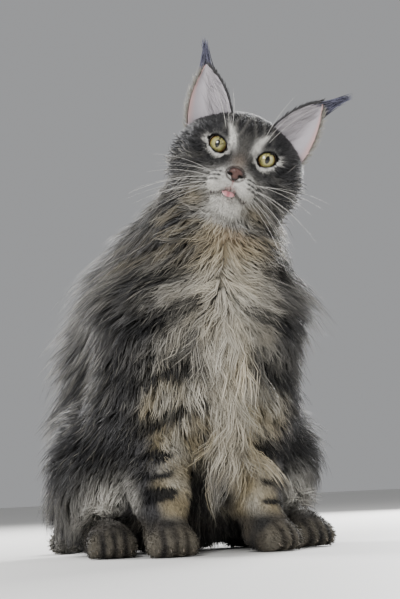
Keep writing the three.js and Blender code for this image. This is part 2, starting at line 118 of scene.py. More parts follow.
def inHead(points):
    return (points - headPlace) @ headAxes.T


# Forms of the body: rods between two balls, and ovals. coat is how far the tips stand off the skin.
def rod(start, end, startRadius, endRadius, coat, lie, part):
    coats = coat if isinstance(coat, tuple) else (coat, coat)
    return {"start": np.asarray(start, float), "end": np.asarray(end, float),
            "radii": (startRadius, endRadius), "coat": coats, "lie": unit(lie), "part": part}


def oval(origin, axes, middle, radii, coat, lie, part):
    return {"origin": np.asarray(origin, float), "axes": axes, "middle": np.asarray(middle, float),
            "radii": np.asarray(radii, float), "coat": (coat, coat), "lie": unit(lie) @ axes, "part": part}


def headOval(middle, radii, coat, lie):
    return oval(headPlace, headAxes, middle, radii, coat, lie, "head")


trunkForms = [
    rod([0, 4, 46], [0, -4, 92], 46, 44, (36, 44), [0, 0.6, -0.8], "back"),
    rod([0, -4, 92], [0, -22, 140], 44, 42, (44, 54), [0, 0.5, -0.86], "back"),
    rod([0, -22, 140], [2, -54, 192], 42, 35, (54, 46), [0, 0.45, -0.9], "back"),
    rod([2, -54, 192], [6, -82, 226], 35, 31, (46, 30), [0, 0.45, -0.9], "back"),
    rod([0, -60, 110], [0, -76, 150], 36, 40, 24, [0, -0.1, -1], "belly"),
    rod([0, -76, 150], [3, -92, 196], 40, 36, (24, 30), [0, -0.15, -1], "chest"),
    rod([0, -106, 176], [-3, -106, 120], 27, 22, (32, 34), [0, -0.1, -1], "chest"),
    rod([4, -90, 208], [12, -122, 258], 34, 29, (30, 24), [0, 0.1, -1], "neck"),
]

hindLegs = [{"side": -1, "paw": (-79, -86), "turn": -4}, {"side": 1, "paw": (84, -84), "turn": 14}]
foreLegs = [
    {"side": -1, "elbow": (-46, -86, 114), "wrist": (-45, -118, 46), "paw": (-45, -136), "turn": -3},
    {"side": 1, "elbow": (40, -88, 114), "wrist": (28, -118, 46), "paw": (36, -136), "turn": 30},
]


def hindLegForms(leg):
    s, (x, y) = leg["side"], leg["paw"]
    return [
        rod([s * 26, 0, 78], [s * 55, -48, 70], 41, 26, 34, [s * 0.25, 0.45, -0.86], "thigh"),
        rod([s * 55, -48, 70], [s * 62, -2, 30], 26, 17, 34, [s * 0.2, 0.3, -0.93], "thigh"),
        rod([s * 60, 2, 10.5], [x, y + 18, 12], 11, 12, 6, [0, -1, -0.2], "paw"),
    ]


def foreLegForms(leg):
    s, (x, y) = leg["side"], leg["paw"]
    return [
        rod([s * 34, -100, 172], leg["elbow"], 27, 20, 24, [s * 0.15, 0.25, -0.96], "arm"),
        rod(leg["elbow"], leg["wrist"], 20, 14, (24, 8), [s * 0.1, 0.5, -0.86], "arm"),
        rod(leg["wrist"], [x, y + 8, 22], 14, 14, 6, [0, -0.2, -1], "paw"),
    ]


def pawAxes(turn):
    c, s = math.cos(math.radians(turn)), math.sin(math.radians(turn))
    return np.array([[c, s, 0], [-s, c, 0], [0, 0, 1]])


toes = {"places": (-13.5, -4.8, 4.8, 13.5), "radii": (5.6, 11, 9), "front": -17, "arc": 0.45, "height": 8.5}


def pawForms(leg):
    origin, axes, ahead = (*leg["paw"], 0), pawAxes(leg["turn"]), [0, -1, -0.3]
    forms = [oval(origin, axes, [0, 0, 14], [17, 20, 14], 4, ahead, "paw")]
    for x in toes["places"]:
        middle = [x, toes["front"] + toes["arc"] * abs(x), toes["height"]]
        forms.append(oval(origin, axes, middle, toes["radii"], 3, ahead, "paw"))
    return forms


# The tail lies on the floor behind the kitten and curls to its right
tail = {"points": np.array([[0, 30, 46], [12, 74, 26], [17, 110, 13.5], [-6, 134, 11], [-40, 128, 9.5],
                            [-62, 106, 8.5], [-76, 80, 7]], float),
        "forms": 12, "radii": (12, 5), "coat": (27, 13)}


def splineThrough(points, count):  # evenly spaced points on a smooth curve through the given ones
    padded = np.vstack([2 * points[0] - points[1], points, 2 * points[-1] - points[-2]])
    fine = []
    for i in range(len(points) - 1):
        a, b, c, d = padded[i:i + 4]
        t = np.linspace(0, 1, 24, endpoint=False)[:, None]
        fine.append(0.5 * (2 * b + (c - a) * t + (2 * a - 5 * b + 4 * c - d) * t ** 2
                           + (3 * b - a - 3 * c + d) * t ** 3))
    fine = np.vstack(fine + [points[-1:]])
    run = np.concatenate([[0], np.cumsum(sizeOf(np.diff(fine, axis=0)))])
    wanted = np.linspace(0, run[-1], count)
    return np.stack([np.interp(wanted, run, fine[:, k]) for k in range(3)], axis=1)


def tailForms():
    count = tail["forms"]
    points = splineThrough(tail["points"], count + 1)
    radii = np.linspace(*tail["radii"], count + 1)
    coats = np.linspace(*tail["coat"], count + 1)
    return [rod(points[i], points[i + 1], radii[i], radii[i + 1], coats[i], points[i + 1] - points[i], "tail")
            for i in range(count)]


headForms = [
    headOval([0, 31, 5], [34, 34, 27], 4, [0, 1, -0.1]),
    headOval([0, 9, 8], [23, 15, 14], 3, [0, 0.8, 0.5]),
    rod(onHead(0, -2, -14), onHead(0, -15, -24), 14, 11, 2, [0, 1, 0], "head"),
    rod(onHead(0, 2, 6), onHead(0, -22, -16), 9.5, 6, 1.5, [0, 1, 0], "head"),
    rod(onHead(0, 16, -35), onHead(0, -8, -42), 13, 9, 5, [0, 1, 0], "head"),
    rod(onHead(0, 36, -10), [12, -122, 258], 27, 29, (6, 22), [0, 0.1, -1], "neck"),
    rod(onHead(0, 44, -4), [6, -88, 230], 22, 31, (6, 32), [0, 0.6, -0.8], "neck"),
]
for s in (-1, 1):
    headForms += [
        headOval([s * 26, 30, 2], [15, 16, 14], 5, [s * 0.3, 0.95, 0]),
        headOval([s * 24, 22, -14], [17, 19, 19], 15, [s * 0.45, 0.7, -0.55]),
        headOval([s * 8, -18, -30], [9, 10.5, 8.5], 2, [s * 0.6, 0.7, -0.3]),
    ]
bodyForms = trunkForms + headForms + [f for leg in hindLegs for f in hindLegForms(leg)]
bodyForms += [f for leg in foreLegs for f in foreLegForms(leg)]
bodyForms += [f for leg in hindLegs + foreLegs for f in pawForms(leg)] + tailForms()


def formDistance(form, points):
    if "middle" in form:
        local = ((points - form["origin"]) @ form["axes"].T - form["middle"]) / form["radii"]
        size = sizeOf(local)
        slope = sizeOf(local / form["radii"])
        return size * (size - 1) / np.maximum(slope, 1e-6), np.full(size.shape, float(form["coat"][0]))
    along = form["end"] - form["start"]
    fromStart = points - form["start"]
    share = np.clip(fromStart @ along / (along @ along), 0, 1)
    distance = sizeOf(fromStart - share[..., None] * along)
    startCoat, endCoat = form["coat"]
    start, end = form["radii"]
    return distance - start - (end - start) * share, startCoat + (endCoat - startCoat) * share


# The skin under the coat: it stands off the forms by a share of the coat, for the woolly undercoat. Its tone
# darkens the painted markings on it, as painted shade of the coat lying over it
skinLook = {"shortShare": 0.4, "longShare": 0.46, "shortCoat": 4, "squashHeight": 46, "blend": (5, 14),
            "far": 90, "floorGap": 0.4, "rounds": 3, "faceKept": 0.85, "tone": 0.8}


def pressed(height):  # the body presses its coat thin near the floor
    return np.clip(0.1 + 0.9 * height / skinLook["squashHeight"], 0.1, 1)


def skinReach(coat, height):
    short, long = np.minimum(coat, skinLook["shortCoat"]), np.maximum(coat - skinLook["shortCoat"], 0)
    return (skinLook["shortShare"] * short + skinLook["longShare"] * long) * pressed(height)


def blendWidth(coat):  # forms with a short coat melt together over a few mm only
    return np.where(coat < 5, *skinLook["blend"])


def melted(least, distance, width):
    share = np.maximum(0, width - np.abs(distance - least)) / width
    return np.minimum(distance, least) - share * share * width / 4


def skinField(points):
    least = np.full(points.shape[:-1], float(skinLook["far"]))
    for form in bodyForms:
        distance, coat = formDistance(form, points)
        least = melted(least, distance - skinReach(coat, points[..., 2]), blendWidth(coat))
    return least


def skinNormals(points, step=1.5):
    here = skinField(points)
    slopes = [skinField(points + step * np.eye(3)[axis]) - here for axis in range(3)]
    return unit(np.stack(slopes, axis=-1)), here


# Eyes, lids, mouth and nose, in the head's frame
eyes = {"radius": 9.5, "side": 18.5, "depth": 5, "diverge": 10, "lid": 1.7, "lidBlend": 2.5, "socket": 15,
        "halfWidth": 8.1, "halfHeight": 5.6, "drop": 0.6, "cornerTilt": 0.3}


def eyeLocal(h, s):  # outwards, backwards and up from an eye's middle, in the eye's own turn
    q = h - np.array([s * eyes["side"], eyes["depth"], 0])
    c, n = math.cos(math.radians(eyes["diverge"])), s * math.sin(math.radians(eyes["diverge"]))
    return np.stack([s * (q[..., 0] * c + q[..., 1] * n), q[..., 1] * c - q[..., 0] * n, q[..., 2]], axis=-1)


def lidField(local):  # below zero inside the almond between the lids
    u, w = local[..., 0], local[..., 2]
    middle = eyes["cornerTilt"] * u - eyes["drop"]
    half = eyes["halfHeight"] * np.sqrt(np.clip(1 - (u / eyes["halfWidth"]) ** 2, 0, 1))
    return np.maximum(np.abs(w - middle) - half, np.abs(u) - eyes["halfWidth"])


mouth = {"corner": (16, -9, -40), "lip": (11.5, -18, -40), "side": (5, -26, -38), "middle": (0, -29, -35),
         "gape": (0.8, 5), "gapeMiddle": -0.6, "gapeHalf": 9.5, "depth": -12, "grooveRadius": 1.1}
mouthSide = np.array([mouth["corner"], mouth["lip"], mouth["side"]], float)
mouthLine = splineThrough(np.vstack([mouthSide * [-1, 1, 1], [mouth["middle"]], mouthSide[::-1]]), 91)


def mouthDistance(h):  # from the line of the mouth, in mm
    near = np.full(h.shape[:-1], 99.0)
    for point in mouthLine:
        near = np.minimum(near, sizeOf(h - point))
    return near


def mouthOpening(h):  # below zero in the gap that the tongue comes out of
    top = np.interp(h[..., 0], mouthLine[:, 0], mouthLine[:, 2]) + 0.6
    across = np.abs(h[..., 0] - mouth["gapeMiddle"]) / mouth["gapeHalf"]
    closed, wide = mouth["gape"]
    gape = closed + (wide - closed) * np.clip(1 - across, 0, 1) ** 0.7
    return np.maximum(np.maximum(h[..., 2] - top, top - gape - h[..., 2]), h[..., 1] - mouth["depth"])


headBumps = {"brow": ((12, 3, 15), (12, 7, 4)), "muzzlePad": ((9.6, -17.5, -30), (9.6, 10.8, 8.2))}
lipGroove = {"halfWidth": 0.5, "middle": -31, "halfHeight": 4, "depth": -26.5}  # the groove under the nose


def withHeadDetails(points, field):
    h = inHead(points)
    for s in (-1, 1):
        local = eyeLocal(h, s)
        r = sizeOf(local)
        field = melted(field, r - eyes["radius"] - eyes["lid"], eyes["lidBlend"])
        cut = np.maximum(np.maximum(lidField(local), local[..., 1]), r - eyes["socket"])
        field = np.maximum(field, -cut)
        field = np.maximum(field, eyes["radius"] + 0.1 - r)
        for middle, radii in headBumps.values():
            size = sizeOf((h - np.array(middle) * [s, 1, 1]) / radii)
            field = melted(field, (size - 1) * min(radii), 3)
    near = (np.abs(h[..., 0]) < 20) & (h[..., 1] < 2) & (np.abs(h[..., 2] + 38) < 12)
    lips = mouth["grooveRadius"] - mouthDistance(h[near])
    field[near] = np.maximum(np.maximum(field[near], lips), -mouthOpening(h[near]))
    split = np.maximum(np.abs(h[..., 0]) - lipGroove["halfWidth"],
                       np.abs(h[..., 2] - lipGroove["middle"]) - lipGroove["halfHeight"])
    return np.maximum(field, -np.maximum(split, h[..., 1] - lipGroove["depth"]))


# A skin over the field: finer steps where the head and the paws are
grid = {"coarse": 3.6, "fine": 1.45, "pawStep": 2.4, "margin": 20,
        "x": (-140, -30, 76, 140), "y": (-215, -207, -108, 165), "z": (-3, 46, 250, 352)}


def axisSteps(marks, *steps):  # a line of places, with a step of its own between each two marks
    return np.concatenate([np.arange(a, b, grid[step]) for a, b, step in zip(marks, marks[1:], steps)])


def blockOf(lines, spans):  # the part of the grid that lies within the spans
    return tuple(slice(*np.searchsorted(line, span)) for line, span in zip(lines, spans))


def gridField(lines):
    field = np.full([len(line) for line in lines], skinLook["far"], np.float32)
    for form in bodyForms:
        if "middle" in form:
            low = high = form["origin"] + form["middle"] @ form["axes"]
            reach = form["radii"].max() + max(form["coat"])
        else:
            low, high = np.minimum(form["start"], form["end"]), np.maximum(form["start"], form["end"])
            reach = max(form["radii"]) + skinLook["longShare"] * max(form["coat"])
        reach += grid["margin"]
        block = blockOf(lines, np.transpose([low - reach, high + reach]))
        points = gridPoints(*[line[part] for line, part in zip(lines, block)])
        distance, coat = formDistance(form, points)
        distance -= skinReach(coat, points[..., 2])
        field[block] = melted(field[block], distance, blendWidth(coat))
    return field


# One point in each cell that the surface crosses, and one quad for each crossed edge
def netOver(field, lines):
    inside = field < 0
    corners = [(i, j, k) for i in (0, 1) for j in (0, 1) for k in (0, 1)]
    shape = np.array(field.shape) - 1
    total = np.zeros(shape, np.int8)
    for i, j, k in corners:
        total += inside[i:i + shape[0], j:j + shape[1], k:k + shape[2]]
    cells = np.argwhere((total > 0) & (total < 8))
    ids = np.full(shape, -1, np.int32)
    ids[tuple(cells.T)] = np.arange(len(cells))
    sums, counts = np.zeros((len(cells), 3)), np.zeros(len(cells))
    values = {c: field[tuple((cells + c).T)] for c in corners}
    for a in corners:
        for axis in range(3):
            if a[axis]:
                continue
            b = tuple(v + (n == axis) for n, v in enumerate(a))
            crossed = (values[a] < 0) != (values[b] < 0)
            place = np.array(a, float)[None].repeat(len(cells), 0)
            place[:, axis] = np.clip(values[a] / np.where(crossed, values[a] - values[b], 1), 0.04, 0.96)
            sums[crossed] += place[crossed]
            counts[crossed] += 1
    local = sums / counts[:, None]
    ends = [(line[n], line[n + 1]) for line, n in zip(lines, cells.T)]
    points = np.stack([a + share * (b - a) for (a, b), share in zip(ends, local.T)], axis=1)
    quads = []
    for axis in range(3):
        u, v = (axis + 1) % 3, (axis + 2) % 3
        before, after = [slice(1, -1)] * 3, [slice(1, -1)] * 3
        before[axis], after[axis] = slice(0, -1), slice(1, None)
        edges = np.argwhere(inside[tuple(before)] != inside[tuple(after)])
        edges[:, [u, v]] += 1
        here = inside[tuple(edges.T)]
        around = []
        for du, dv in ((1, 1), (0, 1), (0, 0), (1, 0)):
            cell = edges.copy()
            cell[:, u] -= du
            cell[:, v] -= dv
            around.append(ids[tuple(cell.T)])
        quad = np.stack(around, axis=1)
        quad[~here] = quad[~here][:, ::-1]
        quads.append(quad)
    return points, np.vstack(quads)


def meshObject(name, points, faces, material, flat=False):
    mesh = bpy.data.meshes.new(name)
    mesh.vertices.add(len(points))
    mesh.vertices.foreach_set("co", (points * millimetre).astype(np.float32).ravel())
    mesh.loops.add(faces.size)
    mesh.loops.foreach_set("vertex_index", faces.astype(np.int32).ravel())
    mesh.polygons.add(len(faces))
    mesh.polygons.foreach_set("loop_start", np.arange(0, faces.size, faces.shape[1], dtype=np.int32))
    mesh.polygons.foreach_set("use_smooth", np.full(len(faces), not flat))
    mesh.update(calc_edges=True)
    mesh.materials.append(material)
    piece = bpy.data.objects.new(name, mesh)
    bpy.context.scene.collection.objects.link(piece)
    return piece


def paint(piece, colours):
    rgba = np.ones((len(colours), 4), np.float32)
    rgba[:, :3] = colours
    layer = piece.data.attributes.new("coatColour", "FLOAT_COLOR", "POINT")
    layer.data.foreach_set("color", rgba.ravel())


def placed(piece, slot, *nodes):
    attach(piece, "root")
    if nodes:
        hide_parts(*nodes)
    return piece


def addNode(tree, kind, settings=None, links=None):  # a node with its settings and what feeds it
    node = tree.nodes.new(kind)
    for key, value in (settings or {}).items():
        if isinstance(key, int) or key in node.inputs:
            node.inputs[key].default_value = value
        else:
            setattr(node, key, value)
    for key, source in (links or {}).items():
        tree.links.new(source, node.inputs[key])
    return node


def newMaterial(name):
    material = bpy.data.materials.new(name)
    material.use_nodes = True
    material.node_tree.nodes.clear()
    return material, material.node_tree


# Markings of a silver tabby, shared by the skin and the coat
tabby = {
    "slate": linear("#1f1f21"), "grey": linear("#4b4a4b"), "silver": linear("#85827c"),
    "pale": linear("#b6b1a5"), "cream": linear("#c4baa5"), "gold": linear("#a5987b"),
    "white": linear("#ebe8e1"), "faceDark": linear("#2b2b2d"), "bridge": linear("#7d7166"),
    "liner": linear("#0d0b0a"), "lip": linear("#2c1b1a"), "pink": linear("#c68e8a"),
    "toe": linear("#625c54"), "brown": linear("#8b7357"),
}
# Dark bands across each shoulder and foreleg: height, half width, how dark
legBands = {
    -1: [(217, 6, 0.9), (187, 9, 0.9), (156, 5, 0.7), (137, 7, 0.95), (102, 6, 0.95), (80, 4.5, 0.7),
         (65, 4, 0.8), (49, 6.5, 0.95)],
    1: [(222, 6, 0.6), (180, 8, 0.85), (139, 12, 0.9), (82, 9, 0.95), (58, 4, 0.6), (40, 4, 0.7)],
}
# Pale streaks on each cheek: height in the middle, distance to the side where it starts, how pale
cheekStreaks = ((-12, 27, 0.35), (-27, 24, 0.5), (-37, 24, 0.6))
# Soft noises of the markings: the size of their lumps in mm, and a seed
patches = {"slow": (42, 41), "quick": (13, 42), "cream": (20, 43), "forehead": (11, 33), "faceTone": (10, 32),
           "faceGrain": (3.5, 31)}
# How far apart the markings are, in mm
spacing = {"foreheadStripes": 7.6, "flankBands": 36, "necklaces": 14, "tailRings": 32, "spotsAcross": 3.3,
           "spotRows": 3.6, "toeGap": 9.1}


def layered(colour, *layers):  # tones laid over a colour, each by its share
    for tone, share in layers:
        colour = mixed(colour, tabby[tone] if isinstance(tone, str) else tone, share)
    return colour


def faceMarkings(h):
    x, y, z = np.abs(h[..., 0]), h[..., 1], h[..., 2]
    front = smooth(-y, -26, -6)
    # lines of the forehead, which run up between the ears
    gap = spacing["foreheadStripes"]
    stripes = banded(x + 0.2 * z + 0.9 * wobble(h, *patches["forehead"]) + gap / 4, gap)
    forehead = smooth(z, 6, 13) * smooth(-y, -34, -10) * smooth(-x, -24, -15)
    # pale patch above the inner corner of each eye, and the thin streak over it
    inner = bump2(x - 9.8 - 0.22 * (z - 5), z - 5.5, 2.9, 7.5)
    brow = bump2(x - 13 - 0.5 * (z - 12), z - 14, 1.6, 6)
    colour = layered(
        tabby["faceDark"],
        ("grey", np.clip(0.18 + 0.4 * wobble(h, *patches["faceTone"]), 0, 1)),
        ("silver", 0.5 * forehead * stripes ** 2),
        ("slate", 0.85 * forehead * (1 - stripes)),
        ("silver", 0.4 * bump2(x, z - 6, 6, 8) * front),
        # nose bridge, grey above and brown below
        (tabby["silver"] * 0.7, 0.6 * bump2(x, z + 2, 6.5, 9) * front),
        ("bridge", 0.9 * bump2(x, z + 14, 6, 8) * front),
        ("white", np.clip(1.5 * inner + 0.8 * brow, 0, 0.96) * front))
    for height, start, depth in cheekStreaks:
        streak = np.exp(-((z - height + 0.35 * (x - start)) / 2.6) ** 2) * smooth(x, start - 4, start + 3)
        colour = layered(colour, ("silver", depth * streak * smooth(-y, -40, -14)))
    # muzzle and chin, and three rows of dark spots where the whiskers grow
    muzzle = np.clip(1.7 * (bump2(x - 10, z + 29, 13, 9) + bump2(x, z + 50, 19, 12)), 0, 1)
    spots = 0
    for row, start in enumerate((11.5, 12, 13.5)):
        for n in range(4):
            spotX = start + spacing["spotsAcross"] * n
            spotZ = -23.4 - spacing["spotRows"] * row - 0.5 * n
            spots = np.maximum(spots, bump2(x - spotX, z - spotZ, 1.5, 0.85))
    colour = layered(
        colour,
        (tabby["white"] * 0.8, muzzle * smooth(-y, -24, -4)),
        ("gold", 0.6 * bump2(x - 24, z + 44, 9, 8) * smooth(-y, -30, -8)),
        ("slate", np.clip(1.7 * spots, 0, 0.9) * smooth(-y, -12, -4)))
    # rims of the eyes: a dark line, and white outside it
    for s in (-1, 1):
        local = eyeLocal(h, s)
        lid = lidField(local)
        near = (local[..., 1] < 3) & (sizeOf(local) < 24)
        below = smooth(eyes["cornerTilt"] * local[..., 0] - local[..., 2], -5, 3)
        rim = smooth(lid, 0.8, 1.5) * smooth(-lid, -5, -3.4) * (0.15 + 0.85 * below)
        above = smooth(local[..., 2], 0, 4)
        line = smooth(-lid, -1.7 - 0.8 * above, -0.9 - 0.5 * above)
        colour = layered(colour, ("white", 0.9 * rim * near), ("liner", line * near))
    # tear line, edge of the nose leather, groove below it, and lips
    tear = bump2(x - 9.2 + 0.25 * (z + 8), z + 8, 1.5, 4.5) * front
    edge = np.abs(np.hypot(x / 7.4, (z + 22.5) / 5.6) - 1)
    groove = np.exp(-(x / 0.8) ** 2) * smooth(-z, 26, 28) * smooth(z, -36, -34) * smooth(-y, 20, 24)
    lips = mouthDistance(h)
    colour = layered(
        colour,
        (tabby["liner"] * 2.5, 0.85 * tear),
        ("lip", 0.85 * smooth(-edge, -0.2, -0.06) * (y < -21)),
        (tabby["pink"] * 0.6, 0.8 * groove),
        ("lip", np.clip(1.3 * np.exp(-(lips / 1.7) ** 2), 0, 0.97)),
        ("pink", 0.8 * np.exp(-(lips / 2) ** 2) * smooth(z, -37, -34.5) * smooth(-x, -6, -3)))
    return colour * (1 + 0.12 * wobble(h, *patches["faceGrain"]))[..., None]


def legMarkings(points, slow, quick):
    x, z = points[..., 0], points[..., 2]
    out = np.zeros(points.shape)
    for s in (-1, 1):
        # how far to the outside of the leg's middle line
        outer = s * x - np.interp(z, (20, 46, 114, 172), (40, 37 if s > 0 else 45, 43, 34))
        lean = z + 0.3 * outer + 2.2 * quick + 3 * slow
        dark = 0
        for height, half, depth in legBands[s]:
            inward = 1 - 0.75 * smooth(-outer, 2, 12) * (height < 90)
            dark = np.maximum(dark, depth * inward * np.exp(-((lean - height) / half) ** 2))
        colour = layered(
            tabby["gold"],
            ("pale", np.clip(0.35 + 0.5 * quick + 0.5 * smooth(z, 96, 120), 0, 1)),
            (tabby["grey"] * 1.25, smooth(outer + 3 * quick, 0, 14) * smooth(-z, -112, -84)),
            ("silver", 0.7 * smooth(z, 128, 150)),
            ("grey", 0.85 * smooth(outer + 4 * quick, 10, 26)),
            ("slate", np.clip(1.5 * smooth(dark, 0.2, 0.72), 0, 0.97)))
        out = np.where((s * x > 0)[..., None], colour, out)
    return out


def pawMarkings(points, quick):
    colour = layered(tabby["toe"] * 0.75, ("slate", np.clip(0.45 + 0.5 * quick, 0, 1)))
    toeBack = mixed(tabby["gold"], tabby["silver"], 0.6) * 0.6
    for leg in hindLegs + foreLegs:
        local = (points - [*leg["paw"], 0]) @ pawAxes(leg["turn"]).T
        across, ahead = np.abs(local[..., 0]), -local[..., 1]
        # dark lines in the gaps between the toes, painted shade, and the paler backs of the toes
        gap = np.minimum(across, np.abs(across - spacing["toeGap"]))
        onToes = smooth(ahead, 8, 16) * smooth(-across, -24, -19) * smooth(-points[..., 2], -26, -16)
        colour = layered(colour, (toeBack, 0.6 * onToes * smooth(gap, 1.2, 3.6)),
                         ("liner", 0.85 * onToes * np.exp(-(gap / 1.3) ** 2)))
    return colour


def markings(points, normals):
    x, y, z = points[..., 0], points[..., 1], points[..., 2]
    aside = np.abs(x)
    slow, quick = wobble(points, *patches["slow"]), wobble(points, *patches["quick"])
    front = smooth(-normals[..., 1], -0.15, 0.5)
    # flanks and back: dark grey, with soft darker bands across and a dark spine
    bands = banded(z * 0.9 - y * 0.55 + 8 * slow, spacing["flankBands"])
    spine = np.exp(-(x / 14) ** 2) * smooth(y + 0.5 * z, -20, 50) * (1 - front)
    # haunches: dark above, long pale hair over the foot
    thigh = smooth(aside, 36, 58) * smooth(-z, -112, -84)
    overFoot = bump2(aside - 74, z - 40, 21, 17) * smooth(-y, -6, 22)
    arm = smooth(aside, 6, 16) * smooth(-y, 56, 82) * smooth(-z, -240, -222) * smooth(-aside, -72, -60)
    # bib down the middle of the chest
    fromMiddle = np.abs(x - 1 - 0.05 * (z - 110))
    width = 9 + 0.12 * np.clip(z - 66, 0, 150)
    bib = smooth(width - fromMiddle + 4 * quick + 3 * slow, -5, 6) * smooth(-y, 60, 90)
    bib = bib * smooth(z, 50, 74) * smooth(-z, -262, -236)
    # the brown spot at the top of the bib is partly warm fur and partly painted shade below the chin
    cream = layered(tabby["cream"], ("pale", 0.5 + 0.5 * wobble(points, *patches["cream"])),
                    ("brown", 0.4 * bump2(x - 10, z - 236, 16, 12)))
    # neck: warm brown under the chin, partly the fur's own tone and partly painted shade below the chin, with
    # grey necklaces to the sides
    neck = smooth(z, 216, 232) * smooth(-y, 50, 96)
    lines = banded(z + 0.3 * np.abs(x - 10) + 3 * quick, spacing["necklaces"])
    collar = layered(
        mixed(tabby["cream"], tabby["gold"], 0.6),
        (tabby["brown"] * 0.8, 0.75 * bump2(x - 12, z - 240, 20, 9)),
        (mixed(tabby["grey"] * 1.2, tabby["slate"], 0.5 + 0.4 * slow),
         np.clip(smooth(np.abs(x - 10), 14, 40) * (0.5 + 0.7 * lines), 0, 1)))
    # ruff beside and behind the cheeks, paws, and a tail with rings and a paler end
    h = inHead(points)
    hx, hy, hz = np.abs(h[..., 0]), h[..., 1], h[..., 2]
    ruff = smooth(hy, 26, 46) * smooth(-np.abs(hz + 26), -44, -18) * smooth(hx, 24, 38)
    low = smooth(-z, -36, -24) * smooth(-y, 44, 62)
    behind = smooth(y, 62, 84) * smooth(-z, -58, -40)
    towardsTip = smooth(-x, 48, 66)
    rings = smooth(banded(x * 0.8 + y * 0.5 + 3 * quick, spacing["tailRings"]), 0.15, 0.95)
    ringed = layered(tabby["silver"], ("pale", 0.3 * towardsTip), ("slate", rings * (1 - 0.55 * towardsTip)))
    face = smooth(-hy, -40, -26) * smooth(hz, -64, -56) * smooth(-sizeOf(h), -76, -64)
    colour = layered(
        tabby["grey"],
        ("silver", np.clip(0.15 + 0.35 * slow + 0.15 * quick, 0, 1)),
        ("slate", 0.2 + 0.6 * bands ** 1.6),
        ("slate", 0.8 * spine),
        ("slate", 0.5 * thigh * smooth(z, 44, 60)),
        (mixed(tabby["pale"], tabby["white"], 0.5), np.clip(1.2 * overFoot, 0, 0.97)),
        (legMarkings(points, slow, quick), arm),
        (cream, 0.96 * bib * front),
        (collar, neck * front),
        ("silver", 0.6 * ruff),
        (pawMarkings(points, quick), 0.95 * low),
        (ringed, behind),
        (faceMarkings(h), face))
    return np.clip(colour * (1 + 0.1 * quick)[..., None], 0.003, 0.92)


def bodyMaterial(name, look):  # the painted colour with a fine grain, on the surface that look gives
    material, tree = newMaterial(name)
    painted = addNode(tree, "ShaderNodeAttribute", {"attribute_name": "coatColour"})
    grain = addNode(tree, "ShaderNodeTexNoise", {"Scale": 1 / (look["grainMm"] * millimetre), "Detail": 3})
    low, high = look["grainRange"]
    spread = {"From Min": low, "From Max": high, "To Min": 1 - look["mottle"], "To Max": 1 + look["mottle"]}
    tone = addNode(tree, "ShaderNodeMapRange", spread, {"Value": grain.outputs["Fac"]})
    shaded = addNode(tree, "ShaderNodeVectorMath", {"operation": "SCALE"},
                     {0: painted.outputs["Color"], "Scale": tone.outputs["Result"]})
    surface = addNode(tree, "ShaderNodeBsdfPrincipled", look["surface"],
                      {"Base Color": shaded.outputs["Vector"]})
    if "relief" in look:
        strength, depthMm = look["relief"]
        relief = addNode(tree, "ShaderNodeBump", {"Strength": strength, "Distance": depthMm * millimetre},
                         {"Height": grain.outputs["Fac"]})
        tree.links.new(relief.outputs["Normal"], surface.inputs["Normal"])
    addNode(tree, "ShaderNodeOutputMaterial", {}, {"Surface": surface.outputs["BSDF"]})
    return material


def hairSurface(roughness, specular, sheen):
    return {"Roughness": roughness, "IOR": 1.5, "Specular IOR Level": specular, "Sheen Weight": sheen,
            "Sheen Roughness": 0.4}


def wetSurface(roughness, ior, film, filmRoughness):
    return {"Roughness": roughness, "IOR": ior, "Coat Weight": film, "Coat Roughness": filmRoughness}


# Woolly undercoat, matt and soft: hairs under 0.1 mm, drawn about 1.2 mm across so that they show
skinCoat = bodyMaterial("undercoatOverSkin", {"grainMm": 1.2, "grainRange": (0.3, 0.7), "mottle": 0.22,
                                              "relief": (0.6, 0.8), "surface": hairSurface(0.8, 0.12, 0)})
# Guard hair, smooth keratin with a low silky gleam: its tone drifts every 6 mm along a lock
hairCoat = bodyMaterial("silverTabbyHair", {"grainMm": 6, "grainRange": (0.3, 0.7), "mottle": 0.1,
                                            "surface": hairSurface(0.5, 0.2, 0.02)})

fleshNodes = [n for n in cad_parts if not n.startswith(("ear_", "eye_")) and n not in ("nose", "tongue")]
gridLines = [axisSteps(grid["x"], "coarse", "fine", "coarse"),
             axisSteps(grid["y"], "coarse", "fine", "coarse"),
             axisSteps(grid["z"], "pawStep", "coarse", "fine")]
field = gridField(gridLines)
headSpans = (grid["x"][1:3], grid["y"][1:3], grid["z"][2:])
headBlock = blockOf(gridLines, headSpans)
headGrid = gridPoints(*[line[part] for line, part in zip(gridLines, headBlock)])
field[headBlock] = withHeadDetails(headGrid, field[headBlock].astype(float))
field = np.maximum(field, skinLook["floorGap"] - gridLines[2])
skinPoints, skinQuads = netOver(field, gridLines)
print("skin", len(skinPoints), "points", len(skinQuads), "faces")


def softened(points, quads, rounds, keep):  # evens out the net, except where keep is 1
    pairs = np.vstack([quads[:, [i, (i + 1) % 4]] for i in range(4)])
    pairs = np.vstack([pairs, pairs[:, ::-1]])
    counts = np.bincount(pairs[:, 0], minlength=len(points))[:, None]
    for _ in range(rounds):
        total = [np.bincount(pairs[:, 0], line[pairs[:, 1]], len(points)) for line in points.T]
        points = points + (np.stack(total, axis=1) / counts - points) * 0.5 * (1 - keep[:, None])
    return points


nearFace = smooth(-sizeOf(inHead(skinPoints) - [0, -5, -15]), -46, -36)
skinPoints = softened(skinPoints, skinQuads, skinLook["rounds"], skinLook["faceKept"] * nearFace)
skin = meshObject("skin", skinPoints, skinQuads, skinCoat)
# the markings darkened by skinLook's tone: painted shade of the coat over the skin
paint(skin, markings(skinPoints, skinNormals(skinPoints)[0]) * skinLook["tone"])
placed(skin, "coat_grey", *fleshNodes)


